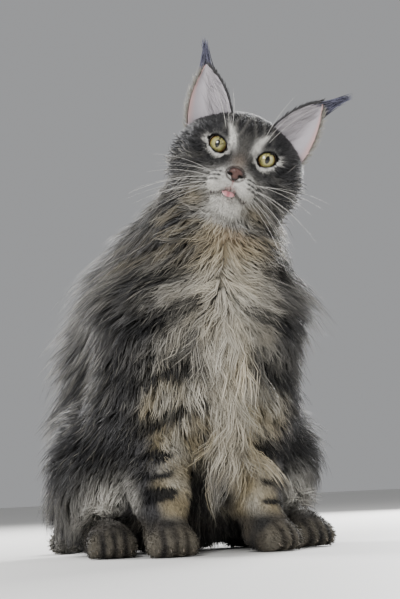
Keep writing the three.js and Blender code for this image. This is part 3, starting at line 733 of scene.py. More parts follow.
# The skin laid out flat, island by island, for the places of the tufts on the bake map
def unwrap(piece):
    bpy.ops.object.select_all(action="DESELECT")
    bpy.context.view_layer.objects.active = piece
    piece.select_set(True)
    piece.data.uv_layers.new(name="OFBake")
    bpy.ops.object.mode_set(mode="EDIT")
    bpy.ops.mesh.select_all(action="SELECT")
    bpy.ops.uv.smart_project(angle_limit=math.radians(66), island_margin=0.001)
    bpy.ops.object.mode_set(mode="OBJECT")
    flat = np.zeros(len(piece.data.loops) * 2, np.float32)
    piece.data.uv_layers["OFBake"].data.foreach_get("uv", flat)
    return flat.reshape(-1, 4, 2)


skinUv = unwrap(skin)
print("skin unwrapped")


# Coat. A strand is three-sided and tapers to its tip; strands draw together into tufts.
lieLook = {"blend": 7, "noseTop": (0, -34, -22), "backwards": (0, 0.45, 0), "parting": (6, -136, 202),
           "partingReach": 26, "partingShare": 0.6, "sweepHeights": (60, 140, 165, 190, 236),
           "sweeps": (-0.5, -0.5, 0, 0.8, 1.7), "bibWidth": 24, "shorterAtEyes": 0.45}
maneLook = {"extra": 11, "height": 228, "spread": 44, "behind": (-142, -116)}


def coatAt(points):  # the coat's length and lie: a mean over the forms, where the nearest count most
    reached = [formDistance(form, points) for form in bodyForms]
    distances, coats = [np.array(rows) for rows in zip(*reached)]
    weights = np.exp((distances.min(axis=0) - distances) / lieLook["blend"])
    total = weights.sum(axis=0)
    length = (weights * coats).sum(axis=0) / total
    lie = weights.T @ np.array([form["lie"] for form in bodyForms])
    headShare = weights[[form["part"] == "head" for form in bodyForms]].sum(axis=0) / total
    x, y, z = points.T

    def turned(lie, towards, share):
        return unit(lie) * (1 - share[:, None]) + towards * share[:, None]

    # on the face the hair runs away from the nose, and on the chest away from a parting
    h = inHead(points)
    away = unit(h - lieLook["noseTop"]) + lieLook["backwards"]
    away[:, 2] -= 0.5 * smooth(-h[:, 2], 30, 42)
    lie = turned(lie, unit(away) @ headAxes, headShare)
    fromParting = points - lieLook["parting"]
    near = np.exp(-(sizeOf(fromParting) / lieLook["partingReach"]) ** 2) * (1 - headShare)
    lie = turned(lie, unit(fromParting), lieLook["partingShare"] * near)
    # over the chest and throat it sweeps out from a line down the middle, and the bib draws in below
    sweep = np.interp(z, lieLook["sweepHeights"], lieLook["sweeps"])
    sweep = np.where(sweep < 0, sweep * np.exp(-(x / lieLook["bibWidth"]) ** 2), sweep)
    lie[:, 0] += sweep * smooth(-y, 70, 110) * (1 - headShare) * np.clip((x - 5) / 14, -1, 1)
    # round the eyes it runs away from them, and it is shortest there and on the muzzle
    for s in (-1, 1):
        local = eyeLocal(h, s)
        reach = sizeOf(local[:, [0, 2]])
        inFront = local[:, 1] < 6
        lie = turned(lie, unit(local * [s, 0, 1]) @ headAxes, smooth(-reach, -17, -10) * inFront)
        length = length * (1 - lieLook["shorterAtEyes"] * smooth(-reach, -16, -10) * inFront)
    # the mane stands off the sides and back of the neck
    sides = 0.5 + 0.7 * smooth(np.abs(x - 8), 20, 38) + 0.5 * smooth(x, 24, 40)
    mane = np.exp(-((z - maneLook["height"]) / maneLook["spread"]) ** 2) * (1 - 0.8 * headShare) * sides
    return length, unit(lie), headShare, maneLook["extra"] * mane * smooth(y, *maneLook["behind"])


corners = skinPoints[skinQuads]
edgeA, edgeB, edgeC = [corners[:, k] - corners[:, 0] for k in (1, 2, 3)]
quadAreas = 0.5 * sum(sizeOf(np.cross(*pair)) for pair in ((edgeA, edgeB), (edgeB, edgeC)))
quadMiddles = corners.mean(axis=1)
quadCoats, _, quadHead, _ = coatAt(quadMiddles)
quadNormals, _ = skinNormals(quadMiddles)
quadInHead = inHead(quadMiddles)
print("coat lengths known")


def spreadRoots(weights, count, draw):  # random places on the skin, and the same places on its flat layout
    picks = draw.choice(len(skinQuads), count, p=weights / weights.sum())
    u, v = draw.random((2, count, 1))
    spots = []
    for a, b, c, d in (corners[picks].transpose(1, 0, 2), skinUv[picks].transpose(1, 0, 2)):
        spots.append((a * (1 - u) + b * u) * (1 - v) + (d * (1 - u) + c * u) * v)
    return spots


# How a strand's path is held over the skin: its root's depth, the band of heights, and the gap to the floor
pathLook = {"rootDepth": 1.5, "rootShare": 0.2, "low": 0.75, "high": 1.15, "pull": 0.7,
            "floorGap": 0.6, "floorStep": 0.5}


def guidePaths(roots, look, draw):
    steps = look["rings"]
    normals, _ = skinNormals(roots)
    coat, lie, _, extra = coatAt(roots)
    height = coat * pressed(roots[:, 2]) - skinReach(coat, roots[:, 2])
    height = (np.maximum(height, look["least"]) + extra) * draw.uniform(*look["reach"], len(roots))
    length = height * look["slant"]
    swing = unit(np.cross(lie, normals)) * (look["swing"] * draw.normal(size=len(roots)))[:, None]
    paths = [roots - normals * np.minimum(pathLook["rootDepth"], pathLook["rootShare"] * length)[:, None]]
    point, up = roots.copy(), normals
    firstLift, lastLift = look["lift"]
    for i in range(steps):
        angle = math.radians(firstLift + (lastLift - firstLift) * i / steps)
        if i == steps // 2:
            lie = unit(lie + 0.5 * (coatAt(point)[1] - lie))
        along = lie + swing
        along = unit(along - up * (along * up).sum(axis=1)[:, None])
        point = point + (along * math.cos(angle) + up * math.sin(angle)) * (length / steps)[:, None]
        up, here = skinNormals(point)
        wanted = height * math.sin(math.radians(90) * min(1, (i + 1) / steps * look["rise"]))
        low = np.maximum(wanted * pathLook["low"] - here, 0)
        high = np.maximum(here - wanted * pathLook["high"], 0)
        point = point + up * (low - pathLook["pull"] * high)[:, None]
        point[:, 2] = np.maximum(point[:, 2], pathLook["floorGap"] + pathLook["floorStep"] * i)
        paths.append(point)
    return np.stack(paths, axis=1), normals


def curled(paths, ups, amount, waves, draw):  # a slow wave across each lock
    run = np.linspace(0, 1, paths.shape[1])[None, :]
    across = unit(np.cross(paths[:, -1] - paths[:, 0], ups))
    phase = draw.uniform(0, noise["phaseSpan"], (len(paths), 1))
    swing = np.sin(phase + noise["phaseSpan"] * run * waves) - 0.3 * np.sin(phase)
    return paths + across[:, None, :] * (amount * run * swing)[..., None]


patchHalf = 0.0015  # half of a tuft's patch on the bake map
# How much strands differ in length and width, how low they may lie, and how much of the root's tone they show
strandLook = {"scale": (0.75, 1.12), "widths": (0.65, 1.3), "lowest": 0.5, "rootTone": 0.15, "raised": 0.75}


def strandMesh(name, paths, widths, ups, colours, flat, material, shape=(0.7, 1, 0.8, 0.5)):
    count, rings = len(paths), paths.shape[1] - 1
    heading = np.gradient(paths, axis=1)
    across = unit(np.cross(heading, ups[:, None, :]))
    raised = unit(np.cross(across, heading))
    profile = np.interp(np.linspace(0, 1, rings), np.linspace(0, 1, len(shape)), shape)
    half = (widths[:, None] * profile / 2)[..., None]
    body, across, raised = paths[:, :-1], across[:, :-1] * half, raised[:, :-1] * half * strandLook["raised"]
    ringPoints = np.stack([body - across, body + across, body + raised], axis=2)
    points = np.concatenate([ringPoints.reshape(count, -1, 3), paths[:, -1:]], axis=1)
    faces = [[0, 1, 2]]
    for ring in range(rings - 1):
        for c in range(3):
            a, b = 3 * ring + c, 3 * ring + (c + 1) % 3
            faces += [[a, b + 3, b], [a, a + 3, b + 3]]
    last = 3 * (rings - 1)
    faces += [[last + (c + 1) % 3, last + c, last + 3] for c in range(3)]
    firsts = np.arange(count) * points.shape[1]
    allFaces = (np.array(faces)[None] + firsts[:, None, None]).reshape(-1, 3)
    piece = meshObject(name, points.reshape(-1, 3), allFaces, material)
    along = np.append(np.repeat(np.arange(rings), 3), rings) / rings
    paint(piece, colours(along).reshape(-1, 3))
    # each tuft's patch on the bake map lies at its root's place
    side = np.append(np.tile([-1.0, 1.0, 0.0], rings), 0)
    patch = patchHalf * np.stack([side, 2 * along - 1], axis=1)
    places = np.clip(flat[:, None, :] + patch[None], 0, 1).reshape(-1, 2)
    layer = piece.data.uv_layers.new(name="OFBake")
    layer.data.foreach_set("uv", places[allFaces.ravel()].astype(np.float32).ravel())
    print(name, len(allFaces), "triangles")
    return piece


def toneAlong(base, look, draw):  # from a pale root over the hair's own colour to its tip, some frosted; brighter towards the tip, painted shade deep in the coat and painted light through the thin tips
    each = 1 + look["tone"] * draw.normal(size=(len(base), 1, 1))
    frosted = 0.7 * (draw.random((len(base), 1)) < look.get("frost", 0))

    def colours(along):
        run = along[None, :, None]
        darkness = 1 - smooth(base.mean(axis=1), 0.12, 0.4)
        root = mixed(base, tabby["silver"] * 0.8, 0.14 * darkness)
        colour = root[:, None, :] + (base - root)[:, None, :] * smooth(run, 0.15, 0.6)
        colour = mixed(colour, tabby["pale"], frosted * smooth(along[None, :], 0.5, 0.95))
        # brightness climbs from 0.82 at the root: painted shade deep in the coat, and painted light through
        # the thin tips
        return np.clip(colour * each * (0.82 + look["tip"] * run), 0.003, 0.95)
    return colours


def growCoat(name, slot, seed, weights, look):
    draw = np.random.default_rng(seed)
    count, rings = look["count"], look["rings"]
    roots, flat = spreadRoots(weights * quadAreas, count, draw)
    guideCount = max(1, count // look["perTuft"])
    guides, guideUps = guidePaths(roots[:guideCount], look, draw)
    guides = curled(guides, guideUps, look["curl"], look["waves"], draw)
    tree = KDTree(guideCount)
    for i, root in enumerate(roots[:guideCount]):
        tree.insert(root, i)
    tree.balance()
    owner = np.array([tree.find(root)[1] for root in roots])
    guide, ups = guides[owner], guideUps[owner]
    run = np.linspace(0, 1, rings + 1)[None, :, None]
    scale = draw.uniform(*strandLook["scale"], (count, 1, 1))
    offset = (roots - roots[owner])[:, None, :]
    paths = guide[:, :1] + (guide - guide[:, :1]) * scale + offset * (1 - look["clump"] * run ** 1.3)
    paths = paths + draw.normal(size=(count, 1, 3)) * look["stray"] * run
    paths[..., 2] = np.maximum(paths[..., 2], strandLook["lowest"])
    widths = look["width"] * draw.uniform(*strandLook["widths"], count)
    seen = markings(paths[:, (2 * rings + 1) // 3], ups)
    tones = toneAlong(mixed(seen, markings(roots, ups), strandLook["rootTone"]), look, draw)
    return placed(strandMesh(name, paths, widths, ups, tones, flat, hairCoat), slot)


# Where each piece of the coat grows
isFace = quadHead > 0.5
bareEye = 0
for s in (-1, 1):
    local = eyeLocal(quadInHead, s)
    inFront = (local[:, 1] < 3) & (sizeOf(local) < 18)
    bareEye = np.maximum(bareEye, np.where(inFront, smooth(-lidField(local), -1.6, -0.9), 0))
nearNose = smooth(-sizeOf(quadInHead - [0, -29, -23]), -8.5, -7)
nearMouth = smooth(-mouthDistance(quadInHead), -1.8, -1.2)
allowed = (1 - bareEye) * (1 - nearNose) * (1 - nearMouth) * (quadMiddles[:, 2] > 1.5)
shortCoat = smooth(-quadCoats, -11, -8)
longCoat = 1 - shortCoat
edges = {"neck": 214, "chestFoot": 60, "chestBack": -60, "chestFacing": 0.35, "legTop": 100, "legBack": -76,
         "legSide": 70, "haunchTop": 108, "tailFront": 62, "tailTop": 80}
x, y, z = quadMiddles.T
facing = -quadNormals[:, 1]
inNeck = (z > edges["neck"]) | (isFace & (longCoat > 0.3))
inFrontal = ~inNeck & (z > edges["chestFoot"]) & (facing > edges["chestFacing"]) & (y < edges["chestBack"])
inLegs = (z <= edges["legTop"]) & (y < edges["legBack"]) & (np.abs(x) < edges["legSide"])
inArms = inFrontal & (np.abs(x - 2) > 10 + 0.1 * (z - 70)) | inLegs
inTail = (y > edges["tailFront"]) & (z < edges["tailTop"])
rest = ~(inNeck | inFrontal | inArms | inTail)
inHaunch = rest & (z <= edges["haunchTop"])
bib = np.exp(-((x - 1) / 11) ** 2) * smooth(z, 84, 110) * smooth(-z, -206, -180) * (y < -90) * (facing > 0.2)
print("coat regions known")

# tip sets how much brighter each strand grows towards its tip: painted light through the thin tips, over
# painted shade at the root
longLook = {"count": 12000, "perTuft": 7, "rings": 3, "width": 1.15, "least": 3, "reach": (0.85, 1.1),
            "slant": 1.75, "lift": (40, 10), "rise": 1.15, "swing": 0.2, "clump": 0.45, "stray": 1.5,
            "curl": 1.6, "waves": 0.8, "tone": 0.12, "tip": 0.32, "frost": 0.16}
shortLook = {"count": 19500, "perTuft": 3, "rings": 2, "width": 0.7, "least": 1.1, "reach": (0.8, 1.1),
             "slant": 2.3, "lift": (24, 4), "rise": 1.4, "swing": 0.12, "clump": 0.25, "stray": 0.25,
             "curl": 0, "waves": 0, "tone": 0.09, "tip": 0.25}
# Each piece of the coat: name, slot, seed, where it grows, a look, and its changes to that look
coatPieces = [
    ("coat_face", "coat_slate", 11, isFace * shortCoat, shortLook, {}),
    ("coat_paws", "coat_grey", 12, ~isFace * shortCoat, shortLook,
     {"count": 12000, "width": 0.9, "least": 1.5}),
    ("coat_neck", "coat_cream", 13, inNeck * longCoat, longLook,
     {"width": 0.95, "reach": (0.8, 1.25), "stray": 2.2, "frost": 0.3}),
    ("coat_chest", "coat_cream", 14, (inFrontal & ~inArms) * longCoat, longLook,
     {"count": 8700, "rings": 4, "width": 1, "curl": 2.6, "waves": 1.2, "clump": 0.6, "perTuft": 10,
      "slant": 2.1}),
    ("coat_bib", "coat_cream", 23, bib * longCoat, longLook,
     {"count": 1700, "rings": 6, "width": 1, "curl": 4.5, "waves": 1.7, "clump": 0.8, "perTuft": 17,
      "slant": 3.4, "reach": (0.9, 1.35), "lift": (30, 6), "stray": 2.2}),
    ("coat_arms", "coat_grey", 19, inArms * longCoat, longLook,
     {"count": 10500, "width": 0.95, "reach": (0.7, 1.05), "slant": 1.6, "lift": (34, 8), "frost": 0.04}),
    ("coat_back", "coat_grey", 15, (rest & ~inHaunch) * longCoat, longLook,
     {"reach": (0.85, 1.25), "frost": 0.25}),
    ("coat_haunch_right", "coat_grey", 16, (inHaunch & (x < 0)) * longCoat, longLook,
     {"count": 9500, "reach": (0.8, 1.2)}),
    ("coat_haunch_left", "coat_grey", 17, (inHaunch & (x >= 0)) * longCoat, longLook,
     {"count": 8500, "reach": (0.8, 1.2)}),
    ("coat_tail", "coat_slate", 18, inTail * longCoat, longLook, {"count": 5000}),
]
for name, slot, seed, where, look, changes in coatPieces:
    growCoat(name, slot, seed, where * allowed, {**look, **changes})
print("coat grown")


# Ears: thin cups, pale and pink inside with painted shade at the foot of the cup, dark hair on the back, long
# tufts at the tips
earLook = {"rows": 22, "columns": 16, "cup": 15, "thickness": 1.5, "tip": (48.5, 30, 63),
           "innerEdge": ((13, 23, 24), (26.5, 22, 54)), "outerEdge": ((43, 32, 0), (58, 33, 28)),
           "foot": -0.1, "top": 0.985, "inside": linear("#b9b3b8"), "pinkEdge": linear("#dba79e"),
           "deepShade": linear("#9b959b")}
ears = [{"name": "ear_right", "side": -1, "tuft": (56, 31, 82), "seed": 21},
        {"name": "ear_left", "side": 1, "tuft": (70, 36, 76), "seed": 22}]


def bezier(a, b, c, t):
    a, b, c = np.asarray(a, float), np.asarray(b, float), np.asarray(c, float)
    return a * (1 - t) ** 2 + 2 * b * t * (1 - t) + c * t * t


def earPoint(ear, t, s):  # t from base to tip, s from the inner to the outer edge
    t, s = np.broadcast_arrays(np.asarray(t, float)[..., None], np.asarray(s, float)[..., None])
    inner = bezier(*earLook["innerEdge"], earLook["tip"], t)
    outer = bezier(*earLook["outerEdge"], earLook["tip"], t)
    point = inner + (outer - inner) * s
    up = np.clip(1 - t[..., 0], 0, 1.2)
    point[..., 1] += earLook["cup"] * up ** 0.7 * (1 - (2 * s[..., 0] - 1) ** 2) - 5 * up
    point[..., 0] *= ear["side"]
    return point


def earShell(ear):
    rows, columns = earLook["rows"], earLook["columns"]
    t = np.linspace(earLook["foot"], earLook["top"], rows)
    t, s = np.meshgrid(t, np.linspace(0, 1, columns), indexing="ij")
    middle = earPoint(ear, t, s)
    normal = unit(np.cross(np.gradient(middle, axis=1), np.gradient(middle, axis=0))) * ear["side"]
    edge = np.minimum(1, 6 * np.minimum(s, 1 - s) + 0.35)[..., None]
    half = normal * earLook["thickness"] / 2 * edge
    points = np.concatenate([middle + half, middle - half]).reshape(-1, 3)
    count = rows * columns
    index = np.arange(count).reshape(rows, columns)
    face = np.stack([index[:-1, :-1], index[:-1, 1:], index[1:, 1:], index[1:, :-1]], axis=-1).reshape(-1, 4)
    rim = np.concatenate([index[0], index[1:, -1], index[-1, -2::-1], index[-2:0:-1, 0]])
    following = np.roll(rim, -1)
    band = np.stack([rim, rim + count, following + count, following], axis=1)
    faces = np.vstack([face, face[:, ::-1] + count, band])
    pinkEdge = 0.7 * smooth(s, 0.8, 0.98) * smooth(t, 0.05, 0.4)
    inside = mixed(earLook["inside"], earLook["pinkEdge"], pinkEdge.ravel())
    # darker at the foot of the cup: painted shade deep in the ear
    inside = mixed(inside, earLook["deepShade"], 0.4 * smooth(-t.ravel(), -0.12, 0.05))
    sides = [inside, np.broadcast_to(tabby["slate"], inside.shape)]
    if normal[..., 1].mean() > 0:
        sides.reverse()
    piece = meshObject(ear["name"] + "_cup", fromHead(points), faces[:, ::ear["side"]], earSkin)
    paint(piece, np.vstack(sides))
    return placed(piece, "ear_skin", ear["name"])


# Thin skin under fine down: soft, with a pale bloom where light grazes it
earSkin = bodyMaterial("thinEarSkin", {"grainMm": 0.9, "grainRange": (0.3, 0.7), "mottle": 0.07,
                                       "relief": (0.6, 0.2), "surface": hairSurface(0.6, 0.35, 0.3)})
# Hair of the ear: length, width and lie, which is towards the tip, towards the outer edge and off the shell
earHairLook = {"back": (5, 1.0, (1, 0, 0.3)), "inner": (5, 0.6, (0.8, -0.55, 0.1)),
               "outer": (6, 0.32, (0.6, 0.7, -0.1)), "furnishing": (16, 0.32, (1, 0.22, 0.16)),
               "foot": (6, 0.5, (1, 0, 0.3)), "longFoot": (9, 0.5, (1, 0, 0.3)),
               "tuftHairs": 260, "tuftWidth": 0.8, "steps": 4}


def earHair(ear):
    draw = np.random.default_rng(ear["seed"])
    sets = []
    run = np.linspace(0, 1, earHairLook["steps"] + 1)[None, :, None]
    mirror = [ear["side"], 1, 1]

    def addSet(kind, t, s, colour, outward=1):  # outward is 1 out of the cup's mouth, -1 on its back
        count = len(t)
        length, width, (towardsTip, sideways, off) = earHairLook[kind]
        here = earPoint(ear, t, s)
        ahead = unit(earPoint(ear, t + 0.03, s) - here)
        across = unit(earPoint(ear, t, s + 0.03) - here)
        normal = unit(np.cross(across, ahead)) * ear["side"]
        normal = normal * np.where(normal[:, 1:2] > 0, -1, 1) * outward
        stray = 0.16 * draw.normal(size=(count, 3))
        heading = unit(ahead * towardsTip + across * sideways + normal * off + stray)
        reach = (length * draw.uniform(0.7, 1.2, count))[:, None, None]
        droop = ahead[:, None, :] * 0.25 * reach * run ** 2
        path = (here + normal * 0.6)[:, None, :] + heading[:, None, :] * reach * run + droop
        sets.append((fromHead(path), np.full(count, width), normal @ headAxes,
                     np.broadcast_to(colour, (count, 3)), np.stack([s, np.clip(t, 0, 1)], axis=1)))

    t, s = draw.uniform(-0.05, 0.93, 1500), draw.uniform(0.04, 0.96, 1500)
    addSet("back", t, s, tabby["slate"] * 1.1, -1)
    t = draw.uniform(-0.05, 0.9, 330)
    addSet("inner", t, np.full(330, 0.02), tabby["grey"])
    addSet("outer", t, np.full(330, 0.98), mixed(tabby["pale"], tabby["grey"], 0.3))
    t, s = draw.uniform(-0.05, 0.6, 130), draw.uniform(0.02, 0.45, 130)
    addSet("furnishing", t, s, linear("#b5b0b3"))
    for kind, count, colour in (("foot", 220, tabby["grey"]), ("longFoot", 150, linear("#8f8b8f"))):
        t, s = draw.uniform(-0.06, 0.05, count), draw.uniform(0.12, 0.82, count)
        addSet(kind, t, s, colour)
    # the tuft: hairs from the ear's upper edge that draw together past its tip
    count = earHairLook["tuftHairs"]
    start = earPoint(ear, draw.uniform(0.74, earLook["top"], count), draw.uniform(0, 1, count)) - [0, 0.8, 0]
    start[:, 1] += 1.6 * draw.random(count)
    end = np.array(ear["tuft"]) * mirror + draw.normal(size=(count, 3)) * [1.2, 1.2, 1.6]
    bend = (start + np.array(earLook["tip"]) * mirror + end) / 3 + draw.normal(size=(count, 3)) * 0.6
    path = bezier(start[:, None], bend[:, None], end[:, None], run * draw.uniform(0.5, 1, (count, 1, 1)))
    tuftColour = mixed(linear("#2c2c35"), linear("#74748a"), draw.random(count))
    backwards = np.broadcast_to(headAxes[1], (count, 3))
    sets.append((fromHead(path), np.full(count, earHairLook["tuftWidth"]), backwards,
                 tuftColour, draw.uniform((0, 0.74), (1, 0.98), (count, 2))))
    paths, widths, ups, base, flat = [np.concatenate(group) for group in zip(*sets)]
    flat = 0.45 * flat + (0.02 if ear["side"] < 0 else 0.52)
    tones = toneAlong(base, {"tone": 0.12, "tip": 0.3}, draw)
    return placed(strandMesh(ear["name"] + "_hair", paths, widths, ups, tones, flat, hairCoat), "coat_slate")


for ear in ears:
    earShell(ear)
for ear in ears:
    earHair(ear)
print("ears made")


# Eyes: yellow-green iris with a brown rim, an upright pupil, and the wet gloss of the cornea
eyeLook = {"irisRadius": 6.6, "pupil": (1.8, 3.1), "around": 96, "play": 0.15, "bulge": 0.7, "down": 3,
           "frontRows": (0, 0.95, 48), "backRows": (0.98, math.pi, 26), "seed": 51,
           "streaks": (7, 13, 19, 29, 41), "white": linear("#8d8076"), "iris": linear("#a29c62"),
           "irisStreak": linear("#787843"), "irisRing": linear("#bdb27c"), "irisRim": linear("#6b4a22"),
           "irisEdge": linear("#17120d"), "slit": linear("#020202")}


def roundShell(grid, poles):  # rows of points between two poles, as a closed net of triangles
    rows, columns = grid.shape[:2]
    count = rows * columns
    index = np.arange(count).reshape(rows, columns)
    after = np.roll(index, -1, axis=1)
    quads = np.stack([index[:-1], index[1:], after[1:], after[:-1]], axis=-1).reshape(-1, 4)
    caps = [np.stack([index[0], after[0], np.full(columns, count)], 1),
            np.stack([after[-1], index[-1], np.full(columns, count + 1)], 1)]
    points = np.vstack([grid.reshape(-1, 3), poles])
    return points, np.vstack([quads[:, [0, 1, 2]], quads[:, [0, 2, 3]], *caps])


def eyeBall(side, name):
    theta = np.concatenate([np.linspace(*eyeLook["frontRows"]), np.linspace(*eyeLook["backRows"])])
    phi = np.linspace(0, 2 * math.pi, eyeLook["around"], endpoint=False)
    theta, phi = np.meshgrid(theta[1:-1], phi, indexing="ij")
    ball, bulge = eyes["radius"] - eyeLook["play"], eyeLook["bulge"]
    radius = ball + bulge * np.clip(1 - (theta / 0.75) ** 2, 0, 1) ** 1.5
    local = np.stack([np.sin(theta) * np.cos(phi), -np.cos(theta), np.sin(theta) * np.sin(phi)], axis=-1)
    points, faces = roundShell(local * radius[..., None], [[0, -ball - bulge, 0], [0, ball, 0]])
    x, z = points[:, 0], points[:, 2]
    across, edge = np.hypot(x, z), eyeLook["irisRadius"]
    draw = np.random.default_rng(eyeLook["seed"])
    streaks = sum(np.sin(np.arctan2(z, x) * n + draw.uniform(0, 6)) for n in eyeLook["streaks"]) / 5
    iris = mixed(eyeLook["iris"], eyeLook["irisStreak"], 0.5 + 0.5 * streaks)
    iris = mixed(iris, eyeLook["irisRing"], 0.5 * np.exp(-((across - 3.4) / 1.2) ** 2))
    iris = mixed(iris, eyeLook["irisRim"], smooth(across, 5.2, 6.3))
    colour = mixed(iris, eyeLook["irisEdge"], smooth(across, edge - 0.4, edge + 0.1))
    colour = mixed(colour, eyeLook["white"], smooth(across, edge + 0.5, edge + 1.2))
    slit = np.hypot(x / eyeLook["pupil"][0], z / eyeLook["pupil"][1])
    colour = mixed(eyeLook["slit"], colour, smooth(slit, 0.92, 1.12))
    colour = np.where(points[:, 1:2] < 0, colour, eyeLook["white"])
    turnOut, turnDown = side * math.radians(eyes["diverge"]), math.radians(eyeLook["down"])
    spin = np.array(Matrix.Rotation(turnOut, 3, "Z") @ Matrix.Rotation(turnDown, 3, "X"))
    socket = [side * eyes["side"], eyes["depth"], 0]
    piece = meshObject("eyeball_" + name, fromHead(points @ spin.T + socket), faces, eyeGloss)
    paint(piece, colour)
    return placed(piece, "eye", "eye_" + name)


# Cornea over the iris: a clear wet film that mirrors the lamps as small sharp lights
eyeGloss = bodyMaterial("corneaOverIris", {"grainMm": 0.5, "grainRange": (0, 1), "mottle": 0.12,
                                           "surface": wetSurface(0.25, 1.38, 1, 0.02)})
# Hairless leather of the nose: pebbled and damp, a broken soft gleam
noseLeather = bodyMaterial("dampNoseLeather", {"grainMm": 0.6, "grainRange": (0, 1), "mottle": 0.2,
                                               "relief": (0.8, 0.15),
                                               "surface": wetSurface(0.45, 1.42, 0.3, 0.25)})
# Tongue: rough flesh under a film of water, bright in spots
wetTongue = bodyMaterial("wetTongue", {"grainMm": 0.5, "grainRange": (0, 1), "mottle": 0.12,
                                       "relief": (0.7, 0.15), "surface": wetSurface(0.4, 1.4, 0.5, 0.15)})
# Horn of the claws: hard keratin, smooth with a faint polish
clawHorn = bodyMaterial("clawHorn", {"grainMm": 0.8, "grainRange": (0, 1), "mottle": 0.08,
                                     "relief": (0.2, 0.15), "surface": wetSurface(0.35, 1.54, 0.2, 0.2)})
eyeBall(-1, "right")
eyeBall(1, "left")


# Nose leather: a broad pad with a groove and a nostril on each side, its edge dark, and painted shade inside
# each nostril
noseLook = {"ovals": [((0, -28.2, -20.8), (5.6, 4.5, 3)), ((3.9, -26.8, -22.4), (3, 4, 2.5)),
                      ((-3.9, -26.8, -22.4), (3, 4, 2.5)), ((0, -28.3, -24.6), (2.9, 3, 3.3))],
            "blend": 1.4, "nostril": (3.9, -30.8, -23.8), "nostrilRadii": (1.9, 3.4, 1.2), "step": 0.55,
            "box": ((-12, 12), (-38, -20), (-34, -14)), "groove": 0.55, "colour": linear("#50342d"),
            "rim": linear("#1a100e"), "pit": linear("#0c0707")}


def noseField(h):
    field = np.full(h.shape[:-1], 9.0)
    for middle, radii in noseLook["ovals"]:
        size = sizeOf((h - middle) / np.array(radii))
        field = melted(field, (size - 1) * min(radii), noseLook["blend"])
    for s in (-1, 1):
        q = (h - np.array(noseLook["nostril"]) * [s, 1, 1]) / noseLook["nostrilRadii"]
        field = np.maximum(field, (1 - sizeOf(q)) * 1.3)
    fromGroove = np.hypot(h[..., 0], (h[..., 1] + 32.6) * 0.8)
    return np.maximum(field, noseLook["groove"] - fromGroove)


noseLines = [np.arange(low, high, noseLook["step"]) for low, high in noseLook["box"]]
nosePoints, noseQuads = netOver(noseField(gridPoints(*noseLines)), noseLines)
leather = meshObject("nose_leather", fromHead(nosePoints), noseQuads, noseLeather)
x, y, z = nosePoints.T
rimDark = smooth(np.hypot(x / 6, (z + 22.6) / 4.6), 0.62, 1.05)
nostrilSide, _, nostrilHeight = noseLook["nostril"]
# near black in the nostrils: painted shade in the openings
pit = bump2(np.abs(x) - nostrilSide, z - nostrilHeight, 2.3, 1.5) * smooth(y, -31.5, -29.5)
leatherColour = mixed(noseLook["colour"], noseLook["rim"], rimDark * 0.95)
paint(leather, mixed(leatherColour, noseLook["pit"], np.clip(1.4 * pit, 0, 1)))
placed(leather, "nose_leather", "nose")

# Tongue: a flat pink blade with a groove down its middle, and painted shade in a darker pink along the groove
tongueLook = {"place": (-0.6, -22.6, -36.6), "radii": (5.3, 9, 1.9), "tilt": 0.5, "groove": 0.5,
              "grooveHalf": 0.9, "rows": 26, "around": 40, "colour": linear("#c98f92"),
              "grooveShade": linear("#ad6a70")}
v = np.linspace(0, math.pi, tongueLook["rows"])[1:-1]
u = np.linspace(0, 2 * math.pi, tongueLook["around"], endpoint=False)
v, u = np.meshgrid(v, u, indexing="ij")
blade = np.stack([np.sin(v) * np.cos(u), -np.cos(v), np.sin(v) * np.sin(u)], axis=-1) * tongueLook["radii"]
groove = tongueLook["groove"] * np.exp(-(blade[..., 0] / tongueLook["grooveHalf"]) ** 2)
blade[..., 2] -= groove * (blade[..., 2] > 0)
halfLength = tongueLook["radii"][1]
bladePoints, bladeFaces = roundShell(blade, [[0, -halfLength, 0], [0, halfLength, 0]])
spin = np.array(Matrix.Rotation(tongueLook["tilt"], 3, "X"))
bladePlaces = fromHead(bladePoints @ spin.T + tongueLook["place"])
tonguePiece = meshObject("tongue_blade", bladePlaces, bladeFaces, wetTongue)
# darker pink along the middle: painted shade in the groove
deepShade = np.exp(-(bladePoints[:, 0] / 1.2) ** 2)
paint(tonguePiece, mixed(tongueLook["colour"], tongueLook["grooveShade"], deepShade))
placed(tonguePiece, "tongue", "tongue")
print("eyes, nose and tongue made")


# Whiskers in four rows, brow whiskers, and claws
whiskerLook = {"width": 0.5, "length": (38, 66), "colour": linear("#e9e6df"), "perSide": 12, "rows": 4,
               "seed": 61, "pad": (12.5, -26.5, -26), "step": 3.6, "browPerSide": 3,
               "browLength": (34, 56), "browWidth": 0.6}


def inRow(count):  # places side by side on the bake map
    return np.stack([np.linspace(0.02, 0.98, count), np.full(count, 0.5)], axis=1)


